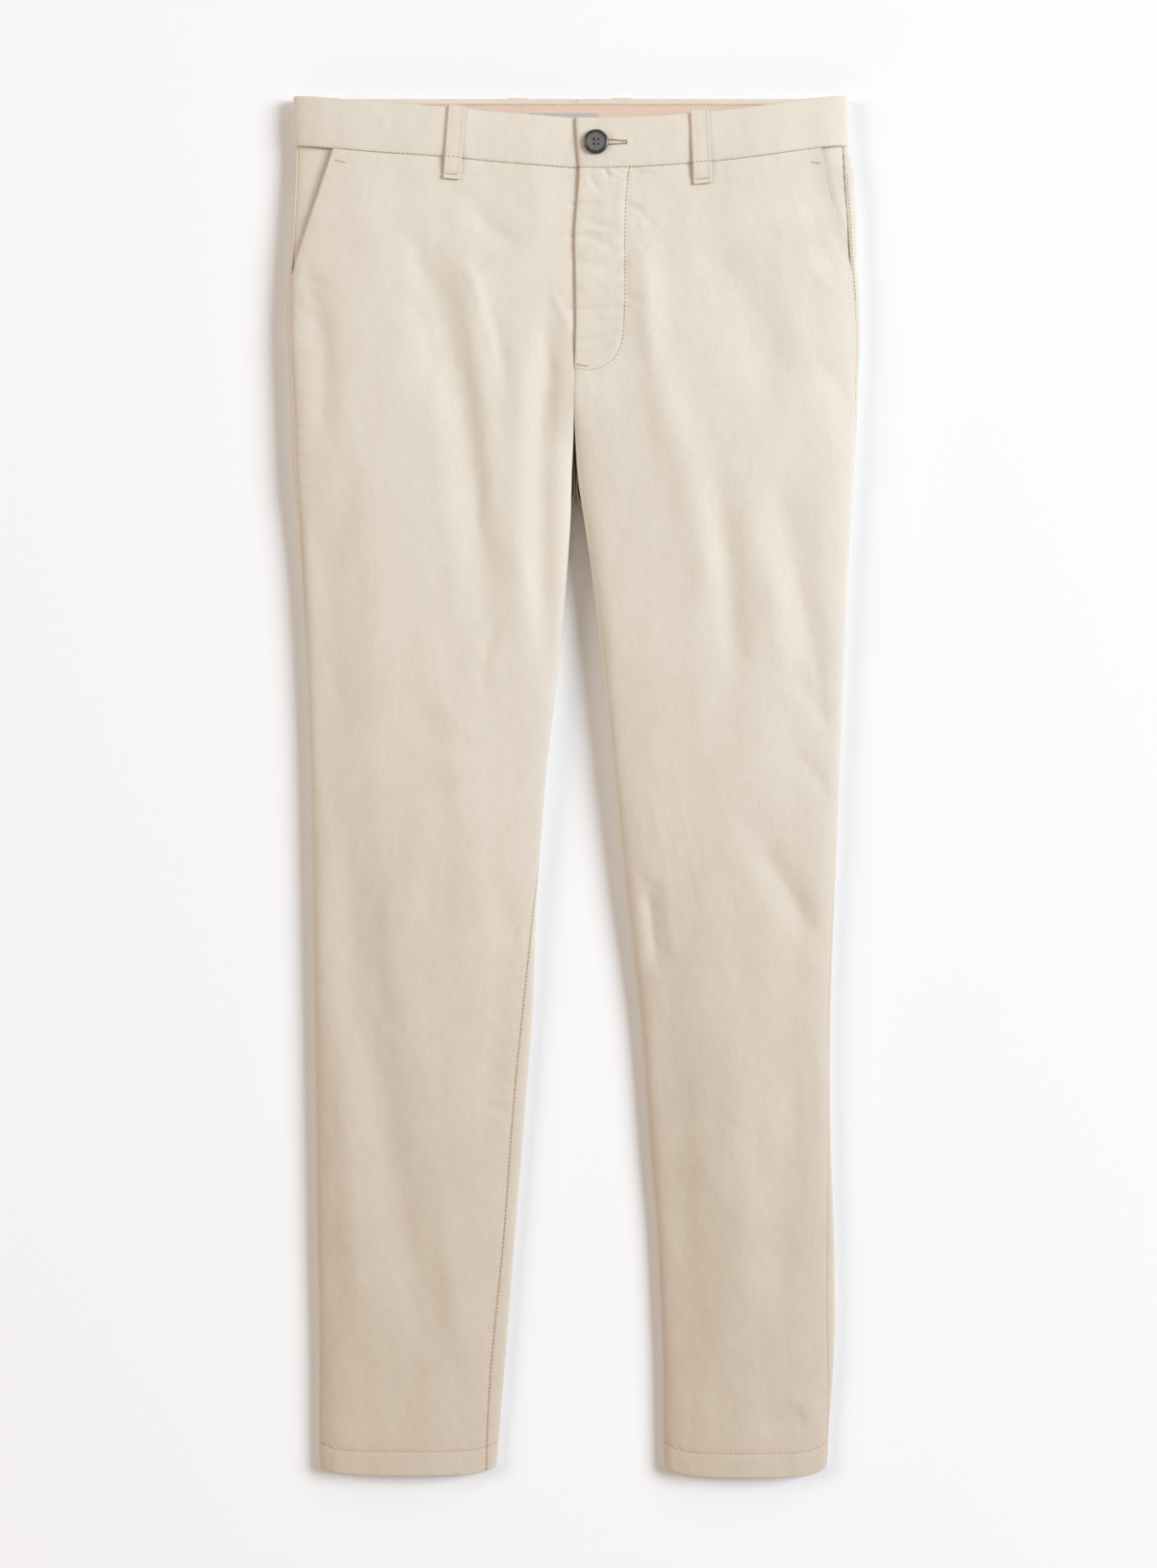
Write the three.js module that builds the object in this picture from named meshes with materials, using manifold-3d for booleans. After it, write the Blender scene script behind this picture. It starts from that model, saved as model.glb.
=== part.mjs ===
// Chino trousers laid out flat on a table, waistband buttoned and fly closed, with air left in the legs.
// Millimetres. +X is the wearer's left, +Y runs from the hems to the waist, +Z is up from the table.
// The origin is on the table, under the middle of the garment.
// Every cloth piece is a wall that follows one skin, which is worked out from the tables of sections below.
import * as THREE from "three";
import { mergeVertices } from "three/addons/utils/BufferGeometryUtils.js";
import Module from "manifold-3d";

// Driving dimensions of the cut
const HEM_Y = -521;
const WAIST_SEAM_Y = 489;
const BAND_HEIGHT = 38;
const HEM_DEPTH = 18;
const CROTCH_Y = 223;
const FLY_END_Y = 334;
const POCKET_END_Y = 388;

// Walls and the gaps between them
const CLOTH = 1.6;
const HEM_WALL = 2.7;
const BAND_WALL = 2.4;
const BAND_PROUD = 0.6;
const FACING_WALL = 1.0;
const LOOP_WALL = 1.5;
const SEAM_GAP = 0.3;
const LAYER_GAP = 0.35;
const POCKET_GAP = 0.9;

// How the front parts from the centre seam into two legs, and how its sides round
const SPLIT_TOP_Y = 304;
const FORK_RISE = 15;
const CENTRE_BACK_X = 2;
const SIDE_SQUARENESS = 0.66;
const UNDERSIDE_FLATNESS = 0.5;

// Sections of the wearer's right leg: the outline's outer and inner edge, and how far the side seam and the
// inside leg seam lie in from those edges. Above the crotch the inner edge is the centre front.
const RIGHT_SECTIONS = [
  { y: -532, outer: -194.6, inner: -59.2, sideSeam: 0, insideSeam: 8.0 },
  { y: -521, outer: -194.8, inner: -58.6, sideSeam: 0, insideSeam: 8.5 },
  { y: -488, outer: -195.3, inner: -55.9, sideSeam: 0, insideSeam: 10.4 },
  { y: -437, outer: -194.9, inner: -51.8, sideSeam: 0, insideSeam: 11.0 },
  { y: -343, outer: -196.5, inner: -44.4, sideSeam: 0, insideSeam: 9.2 },
  { y: -236, outer: -197.8, inner: -35.8, sideSeam: 0, insideSeam: 9.8 },
  { y: -160, outer: -199.1, inner: -30.3, sideSeam: 0, insideSeam: 7.6 },
  { y: -104, outer: -200.0, inner: -28.9, sideSeam: 0, insideSeam: 3.0 },
  { y: -62, outer: -200.7, inner: -26.3, sideSeam: 0, insideSeam: 0.6 },
  { y: 7, outer: -202.0, inner: -20.7, sideSeam: 0, insideSeam: 0 },
  { y: 73, outer: -203.9, inner: -13.1, sideSeam: 0.3, insideSeam: 0 },
  { y: 140, outer: -207.3, inner: -6.5, sideSeam: 1.6, insideSeam: 0 },
  { y: 197, outer: -211.8, inner: -2.2, sideSeam: 3.8, insideSeam: 0 },
  { y: 234, outer: -216.2, inner: -0.9, sideSeam: 5.2, insideSeam: 0 },
  { y: 266, outer: -217.4, inner: 0.7, sideSeam: 5.5, insideSeam: 0 },
  { y: 300, outer: -218.8, inner: 0.5, sideSeam: 5.5, insideSeam: 0 },
  { y: 350, outer: -221.0, inner: 2.4, sideSeam: 5.2, insideSeam: 0 },
  { y: 397, outer: -219.1, inner: 2.2, sideSeam: 4.2, insideSeam: 0 },
  { y: 447, outer: -215.4, inner: 2.6, sideSeam: 2.8, insideSeam: 0 },
  { y: 489, outer: -213.6, inner: 3.7, sideSeam: 2.2, insideSeam: 0 },
  { y: 510, outer: -214.2, inner: 3.2, sideSeam: 2.0, insideSeam: 0 },
  { y: 534, outer: -213.4, inner: 2.2, sideSeam: 2.0, insideSeam: 0 },
];

// The same for the wearer's left leg.
const LEFT_SECTIONS = [
  { y: -532, outer: 192.6, inner: 70.2, sideSeam: 0.6, insideSeam: 0 },
  { y: -521, outer: 194.6, inner: 69.5, sideSeam: 0.8, insideSeam: 0 },
  { y: -488, outer: 196.6, inner: 68.7, sideSeam: 1.9, insideSeam: 0 },
  { y: -446, outer: 199.6, inner: 68.5, sideSeam: 4.6, insideSeam: 0 },
  { y: -403, outer: 200.9, inner: 67.0, sideSeam: 7.3, insideSeam: 0 },
  { y: -335, outer: 199.8, inner: 63.6, sideSeam: 5.4, insideSeam: 0 },
  { y: -283, outer: 197.8, inner: 58.9, sideSeam: 2.7, insideSeam: 0 },
  { y: -226, outer: 197.0, inner: 54.8, sideSeam: 1.2, insideSeam: 0 },
  { y: -170, outer: 197.6, inner: 50.2, sideSeam: 2.2, insideSeam: 0 },
  { y: -85, outer: 200.5, inner: 40.2, sideSeam: 1.2, insideSeam: 0 },
  { y: -30, outer: 202.8, inner: 34.8, sideSeam: 0.4, insideSeam: 0 },
  { y: 64, outer: 206.8, inner: 25.2, sideSeam: 0, insideSeam: 0 },
  { y: 149, outer: 210.2, inner: 15.8, sideSeam: 0, insideSeam: 0 },
  { y: 196, outer: 213.1, inner: 9.3, sideSeam: 0, insideSeam: 0 },
  { y: 234, outer: 215.2, inner: 3.6, sideSeam: 0, insideSeam: 0 },
  { y: 266, outer: 217.1, inner: 1.0, sideSeam: 0.5, insideSeam: 0 },
  { y: 300, outer: 218.6, inner: 0.5, sideSeam: 2.5, insideSeam: 0 },
  { y: 350, outer: 221.0, inner: 2.4, sideSeam: 4.8, insideSeam: 0 },
  { y: 397, outer: 218.8, inner: 2.2, sideSeam: 6.4, insideSeam: 0 },
  { y: 447, outer: 217.4, inner: 2.6, sideSeam: 8.4, insideSeam: 0 },
  { y: 472, outer: 215.6, inner: 3.2, sideSeam: 8.0, insideSeam: 0 },
  { y: 489, outer: 211.0, inner: 3.7, sideSeam: 4.0, insideSeam: 0 },
  { y: 510, outer: 210.2, inner: 3.2, sideSeam: 3.0, insideSeam: 0 },
  { y: 534, outer: 208.8, inner: 2.2, sideSeam: 3.0, insideSeam: 0 },
];

// Heights above the table: the outline's edge, the top of the swell, and the underside, which the belt loops
// that lie beneath it lift at the waist.
const HEIGHTS = [
  { y: -532, edge: 5.5, swell: 17, underside: 0 },
  { y: -440, edge: 6.0, swell: 19, underside: 0 },
  { y: -280, edge: 6.5, swell: 21, underside: 0 },
  { y: -60, edge: 7.0, swell: 24, underside: 0 },
  { y: 140, edge: 8.0, swell: 28, underside: 0 },
  { y: 270, edge: 8.5, swell: 30, underside: 0 },
  { y: 360, edge: 8.5, swell: 29, underside: 0 },
  { y: 430, edge: 9.0, swell: 27, underside: 0 },
  { y: 468, edge: 9.0, swell: 25, underside: 2.5 },
  { y: 489, edge: 9.0, swell: 24.5, underside: 2.5 },
  { y: 534, edge: 9.0, swell: 23, underside: 2.5 },
];

// How far the front waistline lies below a straight line from side to side.
const WAIST_DIP = [
  { x: -212.5, dip: 0 },
  { x: -150, dip: 6.5 },
  { x: -97, dip: 10.5 },
  { x: -50, dip: 15 },
  { x: 3, dip: 18.5 },
  { x: 50, dip: 18 },
  { x: 93, dip: 15 },
  { x: 140, dip: 10 },
  { x: 190, dip: 2 },
  { x: 208, dip: 0 },
];
const WAIST_DIP_FADE = 120;
const HEM_DROP_FADE = 90;

// Slanted pocket mouths, from the waist seam down to the side seam.
const RIGHT_POCKET = [
  { y: 380, x: -217.2 },
  { y: 388, x: -215.0 },
  { y: 420, x: -204.8 },
  { y: 455, x: -193.4 },
  { y: 489, x: -182.4 },
];
const LEFT_POCKET = [
  { y: 380, x: 215.2 },
  { y: 388, x: 213.4 },
  { y: 412, x: 207.6 },
  { y: 434, x: 200.6 },
  { y: 453, x: 194.4 },
  { y: 489, x: 188.4 },
];

// The largest folds: a soft trough, or a ridge where depth is negative, from a start to an end. bow carries
// its middle to the right of its way, half is its half width.
const FOLDS = [
  { x0: -127, y0: 445, x1: -67, y1: 94, bow: -15, half: 15, depth: 4.2 },
  { x0: -88, y0: 430, x1: -58, y1: 150, bow: -4, half: 10, depth: -1.8 },
  { x0: -15, y0: 385, x1: -18, y1: 66, bow: 8, half: 10, depth: 4.6 },
  { x0: -36, y0: 360, x1: -34, y1: 60, bow: 6, half: 12, depth: -2.2 },
  { x0: -192, y0: 250, x1: -184, y1: -70, bow: 2, half: 14, depth: 2.2 },
  { x0: -184, y0: 0, x1: -100, y1: -470, bow: 8, half: 17, depth: 3.8 },
  { x0: -178, y0: -150, x1: -160, y1: -450, bow: 4, half: 14, depth: -1.8 },
  { x0: -92, y0: 80, x1: -70, y1: -150, bow: -2, half: 20, depth: -2.2 },
  { x0: -46, y0: -60, x1: -66, y1: -270, bow: 0, half: 12, depth: 2.2 },
  { x0: -202, y0: 400, x1: -190, y1: 330, bow: 3, half: 8, depth: 1.6 },
  { x0: -86, y0: 458, x1: -36, y1: 410, bow: 3, half: 8, depth: 1.4 },
  { x0: 98, y0: 430, x1: 160, y1: 290, bow: -6, half: 20, depth: 3.4 },
  { x0: 104, y0: 250, x1: 124, y1: 60, bow: -4, half: 13, depth: 3.4 },
  { x0: 76, y0: 300, x1: 108, y1: 120, bow: -4, half: 13, depth: -2.2 },
  { x0: 146, y0: 250, x1: 198, y1: 30, bow: -4, half: 14, depth: 3.6 },
  { x0: 128, y0: -10, x1: 190, y1: -130, bow: 2, half: 14, depth: 3.0 },
  { x0: 60, y0: -70, x1: 66, y1: -150, bow: 0, half: 10, depth: 2.2 },
  { x0: 72, y0: -80, x1: 90, y1: -500, bow: 2, half: 15, depth: 2.2 },
  { x0: 118, y0: -160, x1: 134, y1: -460, bow: 0, half: 18, depth: -2.0 },
  { x0: 176, y0: -190, x1: 160, y1: -420, bow: 3, half: 14, depth: 2.2 },
  { x0: 46, y0: 440, x1: 96, y1: 170, bow: 6, half: 14, depth: -2.4 },
  { x0: 186, y0: 330, x1: 214, y1: 262, bow: -4, half: 9, depth: 1.8 },
];
const FOLD_FADE = 0.28;

// hemDrop is how far the middle of the hem lies below its corners.
const RIGHT = { name: "right", outward: -1, sections: RIGHT_SECTIONS, pocket: RIGHT_POCKET, hemDrop: 5.5 };
const LEFT = { name: "left", outward: 1, sections: LEFT_SECTIONS, pocket: LEFT_POCKET, hemDrop: 7 };

// The fly: the left front lies over the right one, which is lowered and carried on beneath it
const FLY_LOWERED = 3.5;
const FLY_LOWERED_WIDTH = 26;
const FLY_RAMP = 26;
const FRONT_UNDERLAP = 13;
const BAND_UNDERLAP = 30;
const ZIP_FROM_FLY_EDGE = 2;
const ZIP_WIDTH = 18;
const ZIP_WALL = 0.9;

// Pieces on the band and in the pockets
const BUTTON_RADIUS = 9.5;
const BUTTON_HEIGHT = 3.4;
const BUTTON_HOLE_RADIUS = 0.95;
const BUTTON_HOLE_OFFSET = 1.75;
const BUTTON_X = 17.4;
const BUTTON_Y = 508;
const POCKET_FACING_TUCK = 16;
const POCKET_SAG = 1.6;
const LOOP_BELOW_SEAM = 17;
const LOOP_ABOVE_BAND = 1;
const LOOP_SLACK = 1.1;
const FACING_ENDS_X = [-188, 186];
const FACING_BELOW_BAND_TOP = 4;
const LABEL_ENDS_X = [-31.5, 20];
const LABEL_HEIGHT = 25;
const LABEL_WALL = 0.6;

// How finely the walls are divided
const ROW_STEP = 22;
const FRONT_COLUMNS = 14;
const BACK_COLUMNS = 10;
const BAND_COLUMNS = 34;
const BAND_ROWS = 3;
const NUDGE = 1e-4;
const SKIN_STEP = 0.004;

const { clamp, lerp, smoothstep } = THREE.MathUtils;

// A column of a table at a place between its rows, on a smooth curve through them.
function column(table, key, name, at) {
  const last = table.length - 1;
  let i = 0;
  while (i < last - 1 && at > table[i + 1][key]) i++;
  const slope = (j) => {
    const a = table[Math.max(j - 1, 0)];
    const b = table[Math.min(j + 1, last)];
    return (b[name] - a[name]) / (b[key] - a[key]);
  };
  const from = table[i];
  const to = table[i + 1];
  const step = to[key] - from[key];
  const s = clamp((at - from[key]) / step, 0, 1);
  const rise = to[name] - from[name];
  const a = slope(i) * step - rise;
  const b = rise - slope(i + 1) * step;
  return from[name] + rise * s + s * (1 - s) * (a * (1 - s) + b * s);
}

// The depth of all the folds at one place on the front.
function foldDepth(x, y) {
  let depth = 0;
  for (const fold of FOLDS) {
    const way = new THREE.Vector2(fold.x1 - fold.x0, fold.y1 - fold.y0);
    const length = way.length();
    way.divideScalar(length);
    const dx = x - fold.x0;
    const dy = y - fold.y0;
    const s = (dx * way.x + dy * way.y) / length;
    if (s <= 0 || s >= 1) continue;
    const aside = dx * way.y - dy * way.x - fold.bow * 4 * s * (1 - s);
    const ends = smoothstep(s, 0, FOLD_FADE) * (1 - smoothstep(s, 1 - FOLD_FADE, 1));
    depth += fold.depth * ends * Math.exp(-((aside / fold.half) ** 2));
  }
  return depth;
}

// 0 at the hips, where the front is one sheet, and 1 on the legs.
function splitAt(y) {
  return 1 - smoothstep(y, CROTCH_Y, SPLIT_TOP_Y);
}

function outerEdge(leg, y) {
  return column(leg.sections, "y", "outer", y);
}

function innerEdge(leg, y) {
  return column(leg.sections, "y", "inner", y);
}

// The inner edge of a leg's underside, which runs into the centre back seam above the crotch.
function backInnerEdge(leg, y) {
  const fork = smoothstep(y, CROTCH_Y - FORK_RISE, CROTCH_Y + 3);
  return lerp(innerEdge(leg, y), CENTRE_BACK_X, fork);
}

// How far the upper side lies towards the hem at x: the dipped waistline and the rounded hem.
function bend(leg, x, y) {
  const nearWaist = smoothstep(y, WAIST_SEAM_Y - WAIST_DIP_FADE, WAIST_SEAM_Y);
  const outer = outerEdge(leg, HEM_Y);
  const inner = innerEdge(leg, HEM_Y);
  const across = clamp((2 * (x - outer)) / (inner - outer) - 1, -1, 1);
  const nearHem = 1 - smoothstep(y, HEM_Y + HEM_DEPTH, HEM_Y + HEM_DROP_FADE);
  return column(WAIST_DIP, "x", "dip", x) * nearWaist + leg.hemDrop * (1 - across ** 4) * nearHem;
}

// A point of the garment's outside. p runs from -1, the inner edge of the underside, through 0, the outline's
// outer edge, to 1, the inner edge of the top. Below -1 it goes on round a leg's inner edge, onto the top.
function skin(leg, p, y) {
  const top = p >= 0 || p < -1;
  const t = p < -1 ? 2 + p : Math.abs(p);
  const split = splitAt(y);
  const edge = column(HEIGHTS, "y", "edge", y);
  const outer = outerEdge(leg, y);
  const inner = top ? innerEdge(leg, y) : backInnerEdge(leg, y);
  const round = (1 - Math.cos(Math.PI * Math.min(t, 1))) / 2;
  const x = outer + (inner - outer) * (t <= 0.5 ? round : lerp(t, round, split));
  const arch = Math.max(Math.sin(Math.PI * Math.min(t, 1)), 0);
  if (top) {
    const roll = arch ** SIDE_SQUARENESS;
    const swollen = t <= 0.5 ? roll : lerp(1, roll, split);
    const swell = column(HEIGHTS, "y", "swell", y) - edge - foldDepth(x, y);
    return new THREE.Vector3(x, y - bend(leg, x, y), edge + swell * swollen);
  }
  const underside = Math.max(0, column(HEIGHTS, "y", "underside", y));
  const curl = Math.max(0, 1 - arch / UNDERSIDE_FLATNESS) ** 2 * (t <= 0.5 ? 1 : split);
  return new THREE.Vector3(x, y, underside + (edge - underside) * curl);
}

// The p of a point on the top at x, above the crotch.
function pAt(leg, x, y) {
  const across = (x - outerEdge(leg, y)) / (innerEdge(leg, y) - outerEdge(leg, y));
  return across < 0.5 ? Math.acos(1 - 2 * Math.max(across, 0)) / Math.PI : across;
}

// p moved along the skin by a length in millimetres.
function along(leg, p, y, length) {
  const step = length < 0 ? -SKIN_STEP : SKIN_STEP;
  const speed = skin(leg, p + step, y).distanceTo(skin(leg, p, y)) / SKIN_STEP;
  return p + length / speed;
}

// Where the side seam lies on the skin.
function sideSeam(leg, y) {
  const inset = column(leg.sections, "y", "sideSeam", y);
  return pAt(leg, outerEdge(leg, y) - leg.outward * inset, y);
}

// Where the inside leg seam lies on the skin, and 1, the centre front, above the crotch.
function insideSeam(leg, y) {
  const inset = Math.max(column(leg.sections, "y", "insideSeam", y), 0) * splitAt(y);
  return 1 - Math.acos(1 - (2 * inset) / Math.abs(innerEdge(leg, y) - outerEdge(leg, y))) / Math.PI;
}

// A point of the right side lowered towards the centre front, to pass under the left front and band.
function lowered(leg, point, y) {
  if (leg !== RIGHT) return point;
  const edge = innerEdge(leg, y);
  const across = smoothstep(point.x, edge - FLY_LOWERED_WIDTH, edge - 1);
  point.z -= FLY_LOWERED * across * smoothstep(y, FLY_END_Y - FLY_RAMP, FLY_END_Y);
  return point;
}

// Even steps from one end of a list of breaks to the other, with a step on every break.
function steps(breaks, step) {
  const list = [breaks[0]];
  for (let i = 1; i < breaks.length; i++) {
    const count = Math.ceil(Math.abs(breaks[i] - breaks[i - 1]) / step);
    for (let j = 1; j <= count; j++) list.push(lerp(breaks[i - 1], breaks[i], j / count));
  }
  return list;
}

const unit = (count) => steps([0, 1], 1 / count);

// The way out of a surface at (u, v). side is 1 where u, v and the way out are right handed.
function outwards(surface, u, v, du, dv, side) {
  const alongU = surface(u + du, v).sub(surface(u - du, v));
  const alongV = surface(u, v + dv).sub(surface(u, v - dv));
  return alongU.cross(alongV).normalize().multiplyScalar(side);
}

// The surface moved outwards by height(u, v).
function raised(surface, side, height) {
  return (u, v) => {
    const out = outwards(surface, u, v, NUDGE, NUDGE, side);
    return surface(u, v).addScaledVector(out, height(u, v));
  };
}

// A closed wall: surface(u, v) is its outer face, and thickness(u, v) is measured inwards from it.
function wall(surface, us, vs, thickness, side) {
  const du = Math.abs(us[us.length - 1] - us[0]) * NUDGE;
  const dv = Math.abs(vs[vs.length - 1] - vs[0]) * NUDGE;
  const positions = [];
  for (const inside of [0, 1]) {
    for (const v of vs) {
      for (const u of us) {
        const out = outwards(surface, u, v, du, dv, side);
        positions.push(...surface(u, v).addScaledVector(out, -inside * thickness(u, v)));
      }
    }
  }
  const m = us.length;
  const n = vs.length;
  const at = (inside, i, j) => inside * m * n + j * m + i;
  const faces = [];
  const quad = (a, b, c, d) => faces.push(a, b, c, a, c, d);
  for (let j = 0; j < n - 1; j++) {
    for (let i = 0; i < m - 1; i++) {
      quad(at(0, i, j), at(0, i + 1, j), at(0, i + 1, j + 1), at(0, i, j + 1));
      quad(at(1, i, j), at(1, i, j + 1), at(1, i + 1, j + 1), at(1, i + 1, j));
    }
    quad(at(0, 0, j), at(0, 0, j + 1), at(1, 0, j + 1), at(1, 0, j));
    quad(at(0, m - 1, j), at(1, m - 1, j), at(1, m - 1, j + 1), at(0, m - 1, j + 1));
  }
  for (let i = 0; i < m - 1; i++) {
    quad(at(0, i, 0), at(1, i, 0), at(1, i + 1, 0), at(0, i + 1, 0));
    quad(at(0, i, n - 1), at(0, i + 1, n - 1), at(1, i + 1, n - 1), at(1, i, n - 1));
  }
  if (side < 0) faces.reverse();
  const geometry = new THREE.BufferGeometry();
  geometry.setAttribute("position", new THREE.Float32BufferAttribute(positions, 3));
  geometry.setIndex(faces);
  return geometry;
}

function finish(name, color, roughness, metalness = 0) {
  return new THREE.MeshStandardMaterial({ name, color, roughness, metalness });
}

const CREAM_TWILL = finish("cream cotton twill", "#e2d9c8", 0.85);
const PEACH_TWILL = finish("peach waistband twill", "#e3c9b0", 0.9);
const GREY_TAPE = finish("grey woven tape", "#b4b2b3", 0.9);
const HORN = finish("dark grey horn resin", "#4b4d52", 0.35);

// The rows of the fronts and the backs, the same for both, so that their seams match.
const HEM_TOP_Y = HEM_Y + HEM_DEPTH;
const LEG_BREAKS = [HEM_Y, HEM_TOP_Y - 0.5, HEM_TOP_Y + 0.5, CROTCH_Y - FORK_RISE, CROTCH_Y, CROTCH_Y + 6];
const SEAT_BREAKS = [SPLIT_TOP_Y, FLY_END_Y, POCKET_END_Y, WAIST_SEAM_Y - SEAM_GAP / 2];
const ROWS = steps([...LEG_BREAKS, ...SEAT_BREAKS], ROW_STEP);

// The hem is turned up inside, so the wall there is nearly twice as thick.
function panelWall(u, y) {
  return y < HEM_TOP_Y ? HEM_WALL : CLOTH;
}

// The outer edge of a front: the side seam, and the slanted pocket mouth above it.
function frontOuterEdge(leg, y) {
  const seam = along(leg, sideSeam(leg, y), y, SEAM_GAP / 2);
  return y <= POCKET_END_Y ? seam : Math.max(seam, pAt(leg, column(leg.pocket, "y", "x", y), y));
}

// The inner edge of a front: the inside leg seam, then the centre seam, then the edge of the fly.
function frontInnerEdge(leg, y) {
  const seam = along(leg, insideSeam(leg, y), y, -SEAM_GAP / 2);
  if (leg !== RIGHT) return seam;
  return along(leg, seam, y, FRONT_UNDERLAP * smoothstep(y, FLY_END_Y + 1, FLY_END_Y + FLY_RAMP));
}

function front(leg) {
  const surface = (u, y) => {
    const p = lerp(frontOuterEdge(leg, y), frontInnerEdge(leg, y), u);
    return lowered(leg, skin(leg, p, y), y);
  };
  return wall(surface, unit(FRONT_COLUMNS), ROWS, panelWall, -leg.outward);
}

// A back's columns lie closer at its two curled edges than across the flat between them.
function back(leg) {
  const surface = (u, y) => {
    const outer = along(leg, sideSeam(leg, y), y, -SEAM_GAP / 2);
    const inner = along(leg, insideSeam(leg, y) - 2, y, SEAM_GAP / 2);
    return skin(leg, lerp(outer, inner, u), y);
  };
  const us = unit(BACK_COLUMNS).map((u) => u - Math.sin(2 * Math.PI * u) / 9);
  return wall(surface, us, ROWS, panelWall, leg.outward);
}

// Half of the waistband, from the centre front round the side to the centre back.
function waistband(leg) {
  const surface = (u, y) => {
    const from = along(leg, 1, y, leg === RIGHT ? BAND_UNDERLAP : -SEAM_GAP / 2);
    const to = along(leg, -1, y, SEAM_GAP / 2);
    const p = lerp(from, to, u);
    return p > 0 ? lowered(leg, skin(leg, p, y), y) : skin(leg, p, y);
  };
  const proud = raised(surface, leg.outward, () => BAND_PROUD);
  const ys = steps([WAIST_SEAM_Y + SEAM_GAP / 2, WAIST_SEAM_Y + BAND_HEIGHT], BAND_HEIGHT / BAND_ROWS);
  return wall(proud, unit(BAND_COLUMNS), ys, () => BAND_WALL, leg.outward);
}

// The piece that shows in a pocket's mouth, under the front, from the side seam to past the slanted edge.
function pocketFacing(leg) {
  const surface = (u, y) => {
    const from = along(leg, sideSeam(leg, y), y, 1);
    const to = along(leg, frontOuterEdge(leg, y), y, POCKET_FACING_TUCK);
    return skin(leg, lerp(from, to, u), y);
  };
  const depth = (u, y) => {
    const sag = POCKET_SAG * Math.sin(Math.PI * u) * smoothstep(y, POCKET_END_Y, WAIST_SEAM_Y - 50);
    return -(CLOTH + POCKET_GAP + sag);
  };
  const ys = ROWS.filter((y) => y > POCKET_END_Y - ROW_STEP);
  return wall(raised(surface, -leg.outward, depth), unit(6), ys, () => FACING_WALL, -leg.outward);
}

// A strip on the inside of the back waistband, its under face at a height above the band's skin.
function insideStrip(endsX, endsY, height, thickness) {
  const surface = (x, y) => {
    const leg = x < CENTRE_BACK_X ? RIGHT : LEFT;
    const z = skin(leg, -Math.min(pAt(leg, x, y), 1), y).z;
    return new THREE.Vector3(x, y, z + height + thickness);
  };
  return wall(surface, steps(endsX, ROW_STEP), steps(endsY, ROW_STEP), () => thickness, 1);
}

// The closed zip behind the fly, between the left front and the right one that is carried on beneath it.
function zip() {
  const surface = (u, y) => {
    const point = skin(LEFT, pAt(LEFT, innerEdge(LEFT, y) + u, y), y);
    point.z -= CLOTH + LAYER_GAP;
    return point;
  };
  const us = steps([ZIP_FROM_FLY_EDGE, ZIP_FROM_FLY_EDGE + ZIP_WIDTH], ZIP_WIDTH / 4);
  const ys = ROWS.filter((y) => y > FLY_END_Y + FLY_RAMP / 2);
  return wall(surface, us, ys, () => ZIP_WALL, 1);
}

// A belt loop on the front, sewn down at its foot and at the band's top and slack between.
function frontLoop(leg, xTop, xFoot, width) {
  const top = WAIST_SEAM_Y + BAND_HEIGHT + LOOP_ABOVE_BAND;
  const foot = WAIST_SEAM_Y - LOOP_BELOW_SEAM;
  const surface = (u, y) => {
    const s = clamp((y - foot) / (top - foot), 0, 1);
    const point = skin(leg, pAt(leg, lerp(xFoot, xTop, s) + u * width, y), y);
    point.z += BAND_PROUD + LAYER_GAP + LOOP_WALL + LOOP_SLACK * Math.sin(Math.PI * s);
    return point;
  };
  return wall(surface, steps([-0.5, 0.5], 0.25), steps([foot, top], 8), () => LOOP_WALL, 1);
}

// A belt loop on the back, which lies flat between the band and the table.
function backLoop(x, width) {
  const surface = (u, y) => new THREE.Vector3(x + u * width, y, 0);
  const ends = [WAIST_SEAM_Y - LOOP_BELOW_SEAM, WAIST_SEAM_Y + BAND_HEIGHT + LOOP_ABOVE_BAND];
  return wall(surface, [-0.5, 0, 0.5], ends, () => LOOP_WALL, -1);
}

const wasm = await Module();
wasm.setup();

function solid(geometry) {
  const bare = geometry.clone();
  bare.deleteAttribute("normal");
  bare.deleteAttribute("uv");
  const merged = mergeVertices(bare, NUDGE);
  return new wasm.Manifold(
    new wasm.Mesh({
      numProp: 3,
      vertProperties: new Float32Array(merged.attributes.position.array),
      triVerts: new Uint32Array(merged.index.array),
    }),
  );
}

function geometryOf(manifold) {
  const mesh = manifold.getMesh();
  const geometry = new THREE.BufferGeometry();
  geometry.setAttribute("position", new THREE.BufferAttribute(new Float32Array(mesh.vertProperties), 3));
  geometry.setIndex(new THREE.BufferAttribute(new Uint32Array(mesh.triVerts), 1));
  return geometry;
}

// Half of the button's section, in parts of its radius and height: flat under, a round rim, a dished face.
const BUTTON_PROFILE = [
  { r: 0, h: 0 },
  { r: 0.78, h: 0 },
  { r: 0.95, h: 0.28 },
  { r: 1, h: 0.55 },
  { r: 0.96, h: 0.86 },
  { r: 0.86, h: 1 },
  { r: 0.76, h: 0.95 },
  { r: 0.68, h: 0.72 },
  { r: 0.5, h: 0.66 },
  { r: 0, h: 0.64 },
];

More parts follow.
